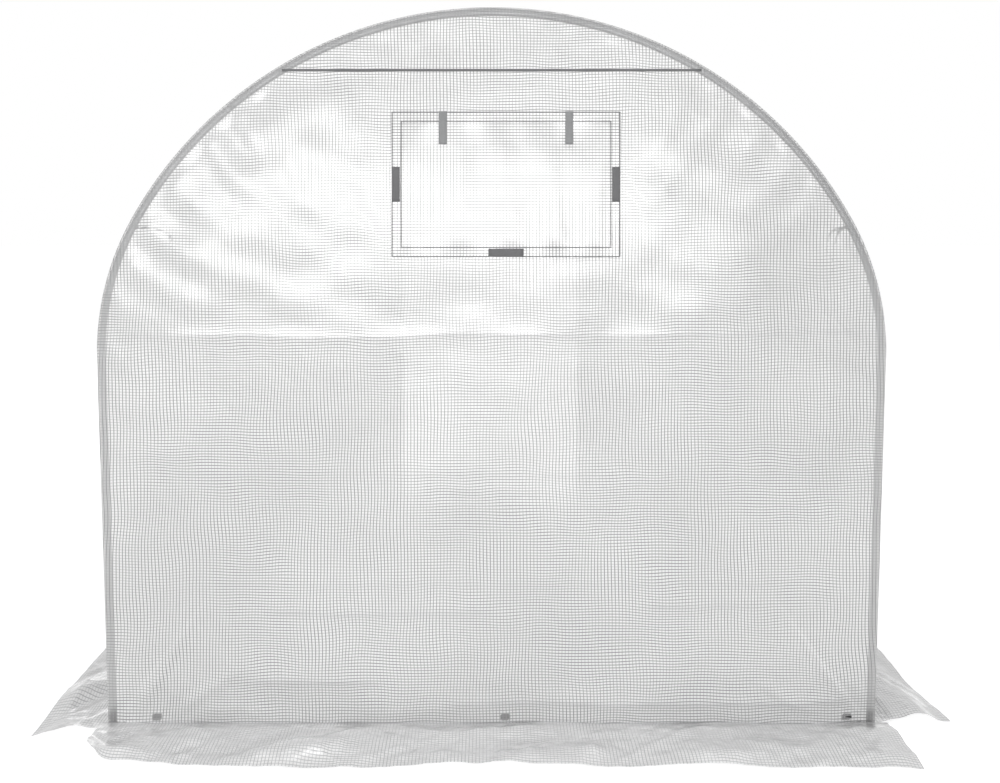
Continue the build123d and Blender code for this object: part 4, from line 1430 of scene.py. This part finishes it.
def tie_tapes(finishes):
    """Tie tapes: a loop round each haunch of the first hoop and two tails from its knot. Each tail follows
    tail_line with its own run, fall and bow, and soon leans on the wall."""
    shell = Shell()
    y = HOOPS["window_end"]
    for side in (-1, 1):
        x, z = on_haunch(TIE_ANGLE)
        centre = np.array([side * x, y, z])
        out = np.array([side * sin(TIE_ANGLE), 0, cos(TIE_ANGLE)])
        turn = np.linspace(radians(78), radians(402), 40)
        around = np.cos(turn)[:, None] * out + np.sin(turn)[:, None] * np.array([0, 1.0, 0])
        strip(shell, centre + (HOOP_TUBE_R - 0.0002) * around, around, 0.015, 0.0008)
        knot = centre - out * (HOOP_TUBE_R + 0.003)
        heights, radii = [0, 0.001, 0.006, 0.011, 0.012], [0, 0.005, 0.007, 0.005, 0]
        turned(shell, knot - np.array([0, 0.006, 0]), (0, 1, 0), heights, radii, 14)
        for number, tail in enumerate(TIE_TAILS[side]):
            run, fall = tail_line(*tail)
            step = np.linspace(0, 1, len(run))
            toward_wall = (0.0105 - 0.002 * number) * smooth_step(step, 0.0, 0.3)
            path = np.stack([knot[0] + run, knot[1] - toward_wall, knot[2] + fall], axis=-1)
            strip(shell, path, (0, -1, 0.12), TIE_TAPE_WIDTH, 0.0007)
    put(shell.make("hoop_tie_tapes", finishes["tape"]), "webbing", "tie_tapes")


# Skirts


def skirt_height(a, b, out, width, settings, seed):
    """Height of a skirt over the ground: soft swells and sharp folds, which are low at the wall and rise
    away from it, and never less than the film's own thickness."""
    free = smooth_step(out, 0.0, 0.3 * width) * (1 - 0.75 * smooth_step(out, 0.68 * width, 0.98 * width))
    swell = settings.swell * np.clip(0.35 + 1.3 * rolling(a + 1.2 * b, b, 0.30, seed), 0, 1.2)
    sharp = settings.crumple * crumpled(a + 1.3 * b, 1.6 * b, 0.15, seed + 3)
    fine = 0.35 * settings.crumple * crumpled(a, b, 0.05, seed + 4)
    return 0.0015 + (swell + sharp + fine) * (0.20 + 0.80 * free)


# How far the near tip of each side's skirt reaches past its end and outward
SKIRT_TIPS = {-1: (0.080, -0.008), 1: (0.012, 0.018)}


def side_skirt(side, side_name, settings, finishes):
    """Skirt beside the tunnel: y = along, x = wall + out * share. Its free edge wanders by soft swells, and
    the end towards the window end is drawn out to a tip."""
    lowest, highest = low(f"{side_name}_skirt"), high(f"{side_name}_skirt")
    inner = min(abs(lowest[0]), abs(highest[0])) - 0.001
    width = highest[0] - lowest[0]
    y = np.linspace(lowest[1], highest[1], 230)[None, :]
    share = np.linspace(0, 1, 30)[:, None]
    tip_reach, tip_out = SKIRT_TIPS[side]
    near = 1 - smooth_step(y, lowest[1], lowest[1] + 0.25)
    edge = width * 0.98 + 0.5 * settings.wave * rolling(y, 0 * y, 0.5, 401 + side) + tip_out * near
    out = share * edge
    along = y - tip_reach * near * (0.35 + 0.65 * share)
    height = skirt_height(along, out, out, width, settings, 410 + 7 * side)
    x = side * (inner + out)
    points = np.stack(np.broadcast_arrays(x, along, height), axis=-1)
    points = points if side < 0 else points[::-1]
    flat = np.stack(np.broadcast_arrays(y, share * width), axis=-1)
    flat = flat if side < 0 else flat[::-1]
    shell = Shell()
    shell.add(points[:, ::-1], flat=flat[:, ::-1])
    piece = shell.make(f"{side_name}_skirt_film", finishes["skirt_film"], solid=False)
    put(piece, "film", f"{side_name}_skirt")


def end_skirt(end, name, node, settings, finishes):
    """Skirt across an end: x = across, y = wall + out * share. At the window end its left end curls up and
    its right end is drawn out to a tip, as in a strip of film that was cut by hand."""
    lowest, highest = low(node), high(node)
    inner = min(abs(lowest[1]), abs(highest[1]))
    width = highest[1] - lowest[1]
    half = (highest[0] - lowest[0]) / 2
    reach_past = 0.034 if end < 0 else 0.0
    x = np.linspace(-half - reach_past / 3, half + reach_past, 250)[None, :]
    share = np.linspace(0, 1, 34)[:, None]
    edge = width * 0.90 + settings.wave * rolling(x, 0 * x, 0.55, 431 + end)
    edge = edge + 0.5 * settings.wave * rolling(x, 0 * x, 0.16, 432 + end)
    tip = smooth_step(x, half - 0.22, half + 0.03)
    edge = edge + (width * 0.10) * tip
    curl = 1 - smooth_step(x, -half - 0.02, -half + 0.10)
    edge = edge * (1 - 0.42 * curl**2)
    out = share * edge
    across = x - 0.03 * curl * share * (1 - share)
    height = skirt_height(across, out, out, width, settings, 440 + 5 * end)
    height = height + 0.012 * curl * smooth_step(share, 0.45, 1.0)
    height = height + 0.004 * (1 - share) ** 3
    points = np.stack(np.broadcast_arrays(across, end * (inner + out), height), axis=-1)
    flat = np.stack(np.broadcast_arrays(x, share * width), axis=-1)
    # Painted shade in a band along the foot of the wall, where the skirt meets it
    wall_foot_shade = np.broadcast_to(0.8 * np.exp(-share / 0.05), flat.shape[:2])
    if end < 0:
        points, flat, wall_foot_shade = points[::-1], flat[::-1], wall_foot_shade[::-1]
    shell = Shell()
    shell.add(points, flat=flat, mark=wall_foot_shade)
    piece = put(shell.make(name, finishes["skirt_film"], solid=False), "film", node)
    2 * half


# Operators


class PolytunnelStage(bpy.types.Operator):
    """Adds the camera, the white floor and the light."""

    bl_idname = "polytunnel.stage"
    bl_label = "Stage"

    def execute(self, context):
        settings = context.scene.polytunnel_stage
        lens = bpy.data.cameras.new("eye")
        lens.lens = settings.lens
        lens.sensor_width = 36.0
        lens.shift_x, lens.shift_y = settings.shift
        lens.clip_end = 200.0
        eye = bpy.data.objects.new("eye", lens)
        eye.location = settings.eye
        eye.rotation_euler = (pi / 2, 0, 0)
        context.scene.collection.objects.link(eye)
        context.scene.camera = eye
        context.scene.view_settings.view_transform = "Standard"

        world = bpy.data.worlds.new("studio")
        studio = Nodes(world)
        light, backdrop = (
            studio.add("ShaderNodeBackground", {}, {"Color": (1, 1, 1, 1), "Strength": strength}).outputs[0]
            for strength in (settings.sky, 1.0)
        )
        both = studio.add("ShaderNodeMixShader", {}, {0: studio.backdrop_seen(), 1: light, 2: backdrop})
        studio.add("ShaderNodeOutputWorld", {}, {"Surface": both.outputs[0]})
        context.scene.world = world

        for name, power, size, place, turn in (
            ("front softbox", settings.softbox, (4.7, 0.85), (-0.5, -7.2, 1.52), pi / 2),
            ("top strip", settings.top_strip, (6.5, 0.35), (-0.3, -2.1, 3.8), 0.0),
            ("back softbox", settings.back_softbox, (7.0, 2.4), (-0.4, 6.5, 2.6), -pi / 2),
        ):
            lamp = bpy.data.lights.new(name, "AREA")
            lamp.shape = "RECTANGLE"
            lamp.size, lamp.size_y = size
            lamp.energy = power
            box = bpy.data.objects.new(name, lamp)
            box.location = place
            box.rotation_euler = (turn, 0, 0)
            box.visible_camera = False
            context.scene.collection.objects.link(box)

        finish = Finish("white floor")
        cloud = finish.noise(0.7).step(0.0, 1.0)
        pale = finish.blend(cloud, (0.96, 0.96, 0.96, 1), (0.97, 0.97, 0.97, 1))
        seen = finish.backdrop_seen()
        place = finish.add("ShaderNodeSeparateXYZ", {}, {0: finish.place()})
        outside = [
            Value(finish, place.outputs[axis]).math("ABSOLUTE").step(edge - 0.01, edge)
            for axis, edge in (("X", float(half_width(0.0, 0.0))), ("Y", HOOP_PITCH))
        ]
        glow = finish.blend(seen * outside[0].larger(outside[1]), (0, 0, 0, 1), (1, 1, 1, 1))
        white = finish.close(
            Base_Color=pale,
            Roughness=0.9,
            Specular_IOR_Level=0.0,
            Emission_Color=glow,
            Emission_Strength=settings.floor_glow,
        )
        shell = Shell()
        line = np.linspace(-40, 40, 9)
        x, y = np.meshgrid(line, line)
        shell.add(np.stack([x, y, np.full_like(x, -0.0005)], axis=-1))
        shell.make("floor", white, solid=False)
        return {"FINISHED"}


class PolytunnelFrame(bpy.types.Operator):
    """Adds the hoops, the purlins, the braces, the rails and the black plastic fittings."""

    bl_idname = "polytunnel.frame"
    bl_label = "Steel frame"

    def execute(self, context):
        settings = context.scene.polytunnel_frame
        steel = steel_finish(settings)
        plastic = plastic_finish(settings)
        for name, y in HOOPS.items():
            hoop_crown(name, y, settings, steel)
            hoop_haunches(name, y, settings, steel)
            hoop_legs(name, y, settings, steel)
        ridge_purlin(settings, steel)
        side_purlins(settings, steel)
        wind_braces(settings, steel)
        base_rails(settings, steel)
        foot_joints(plastic)
        base_clips(plastic)
        return {"FINISHED"}


def cover_finishes(settings):
    """Every finish of the cover, made once and then found by its name."""
    if not COVER_FINISHES:
        COVER_FINISHES.update(
            end_film=film_finish("end film", settings),
            side_film=film_finish("roof and wall film", settings),
            flap_film=film_finish("flap film", settings, crumple=0.7, thread_level=0.9),
            hem_film=film_finish("hem film", settings, crumple=0.7, thread_level=0.45),
            roll_film=film_finish("rolled film", settings, solid=True, crumple=0.8),
            skirt_film=film_finish(
                "skirt film", settings, crumple=3.2, roughness=0.16, gloss=0.07, thread_level=2.0
            ),
            net=net_finish(settings),
            seam=webbing_finish("seam tape", (0.20, 0.203, 0.207)),
            strap=webbing_finish("grey webbing", (0.33, 0.335, 0.34)),
            touch_tape=webbing_finish("touch tape", (0.19, 0.19, 0.195)),
            tape=webbing_finish("tie tape", (0.30, 0.305, 0.31)),
            zip_tape=webbing_finish("zip tape", (0.62, 0.63, 0.63)),
            zip_teeth=webbing_finish("zip teeth", (0.70, 0.71, 0.71)),
        )
    return COVER_FINISHES


COVER_FINISHES = {}


class PolytunnelRoof(bpy.types.Operator):
    """Adds the roof and the side walls with their windows."""

    bl_idname = "polytunnel.roof"
    bl_label = "Roof and side walls"

    def execute(self, context):
        finishes = cover_finishes(film())
        roof(film(), finishes)
        for side, side_name in ((-1, "left"), (1, "right")):
            side_wall(side, side_name, film(), finishes)
        return {"FINISHED"}


class PolytunnelWindowEnd(bpy.types.Operator):
    """Adds the window end with its window."""

    bl_idname = "polytunnel.window_end"
    bl_label = "Window end"

    def execute(self, context):
        finishes = cover_finishes(film())
        window_end(film(), finishes)
        end_window(finishes)
        tie_tapes(finishes)
        return {"FINISHED"}


class PolytunnelDoorEnd(bpy.types.Operator):
    """Adds the door end with its zips and its rolled door."""

    bl_idname = "polytunnel.door_end"
    bl_label = "Door end"

    def execute(self, context):
        finishes = cover_finishes(film())
        door_end(film(), finishes)
        door_zips(finishes)
        rolled_door(finishes)
        door_ties(finishes)
        return {"FINISHED"}


class PolytunnelSkirts(bpy.types.Operator):
    """Adds the four skirts that lie on the ground."""

    bl_idname = "polytunnel.skirts"
    bl_label = "Skirts"

    def execute(self, context):
        settings = context.scene.polytunnel_skirts
        finishes = cover_finishes(film())
        side_skirt(-1, "left", settings, finishes)
        side_skirt(1, "right", settings, finishes)
        end_skirt(-1, "window_end_skirt_film", "window_end_skirt", settings, finishes)
        end_skirt(1, "door_end_skirt_film", "door_end_skirt", settings, finishes)
        return {"FINISHED"}


class PolytunnelPanel(bpy.types.Panel):
    """Lists the pieces of the polytunnel."""

    bl_idname = "VIEW3D_PT_polytunnel"
    bl_label = "Polytunnel"
    bl_space_type = "VIEW_3D"
    bl_region_type = "UI"
    bl_category = "Polytunnel"

    def draw(self, context):
        for operator in OPERATORS:
            self.layout.operator(operator.bl_idname)
        for name, kind in SETTINGS.items():
            box = self.layout.box()
            for prop in kind.__annotations__:
                box.prop(getattr(context.scene, name), prop)


SETTINGS = {
    "polytunnel_frame": FrameSettings,
    "polytunnel_film": FilmSettings,
    "polytunnel_skirts": SkirtSettings,
    "polytunnel_stage": StageSettings,
}
OPERATORS = (
    PolytunnelStage,
    PolytunnelFrame,
    PolytunnelRoof,
    PolytunnelWindowEnd,
    PolytunnelDoorEnd,
    PolytunnelSkirts,
)
CLASSES = (*SETTINGS.values(), *OPERATORS, PolytunnelPanel)


def register():
    """Registers the classes and puts their settings on the scene."""
    for kind in CLASSES:
        bpy.utils.register_class(kind)
    for name, kind in SETTINGS.items():
        setattr(bpy.types.Scene, name, PointerProperty(type=kind))


def unregister():
    """Takes back what register does."""
    for name in SETTINGS:
        delattr(bpy.types.Scene, name)
    for kind in reversed(CLASSES):
        bpy.utils.unregister_class(kind)


def main():
    """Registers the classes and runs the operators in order."""
    register()
    for operator in OPERATORS:
        group, name = operator.bl_idname.split(".")
        getattr(getattr(bpy.ops, group), name)()
    bpy.context.view_layer.update()


if __name__ == "__main__":
    main()
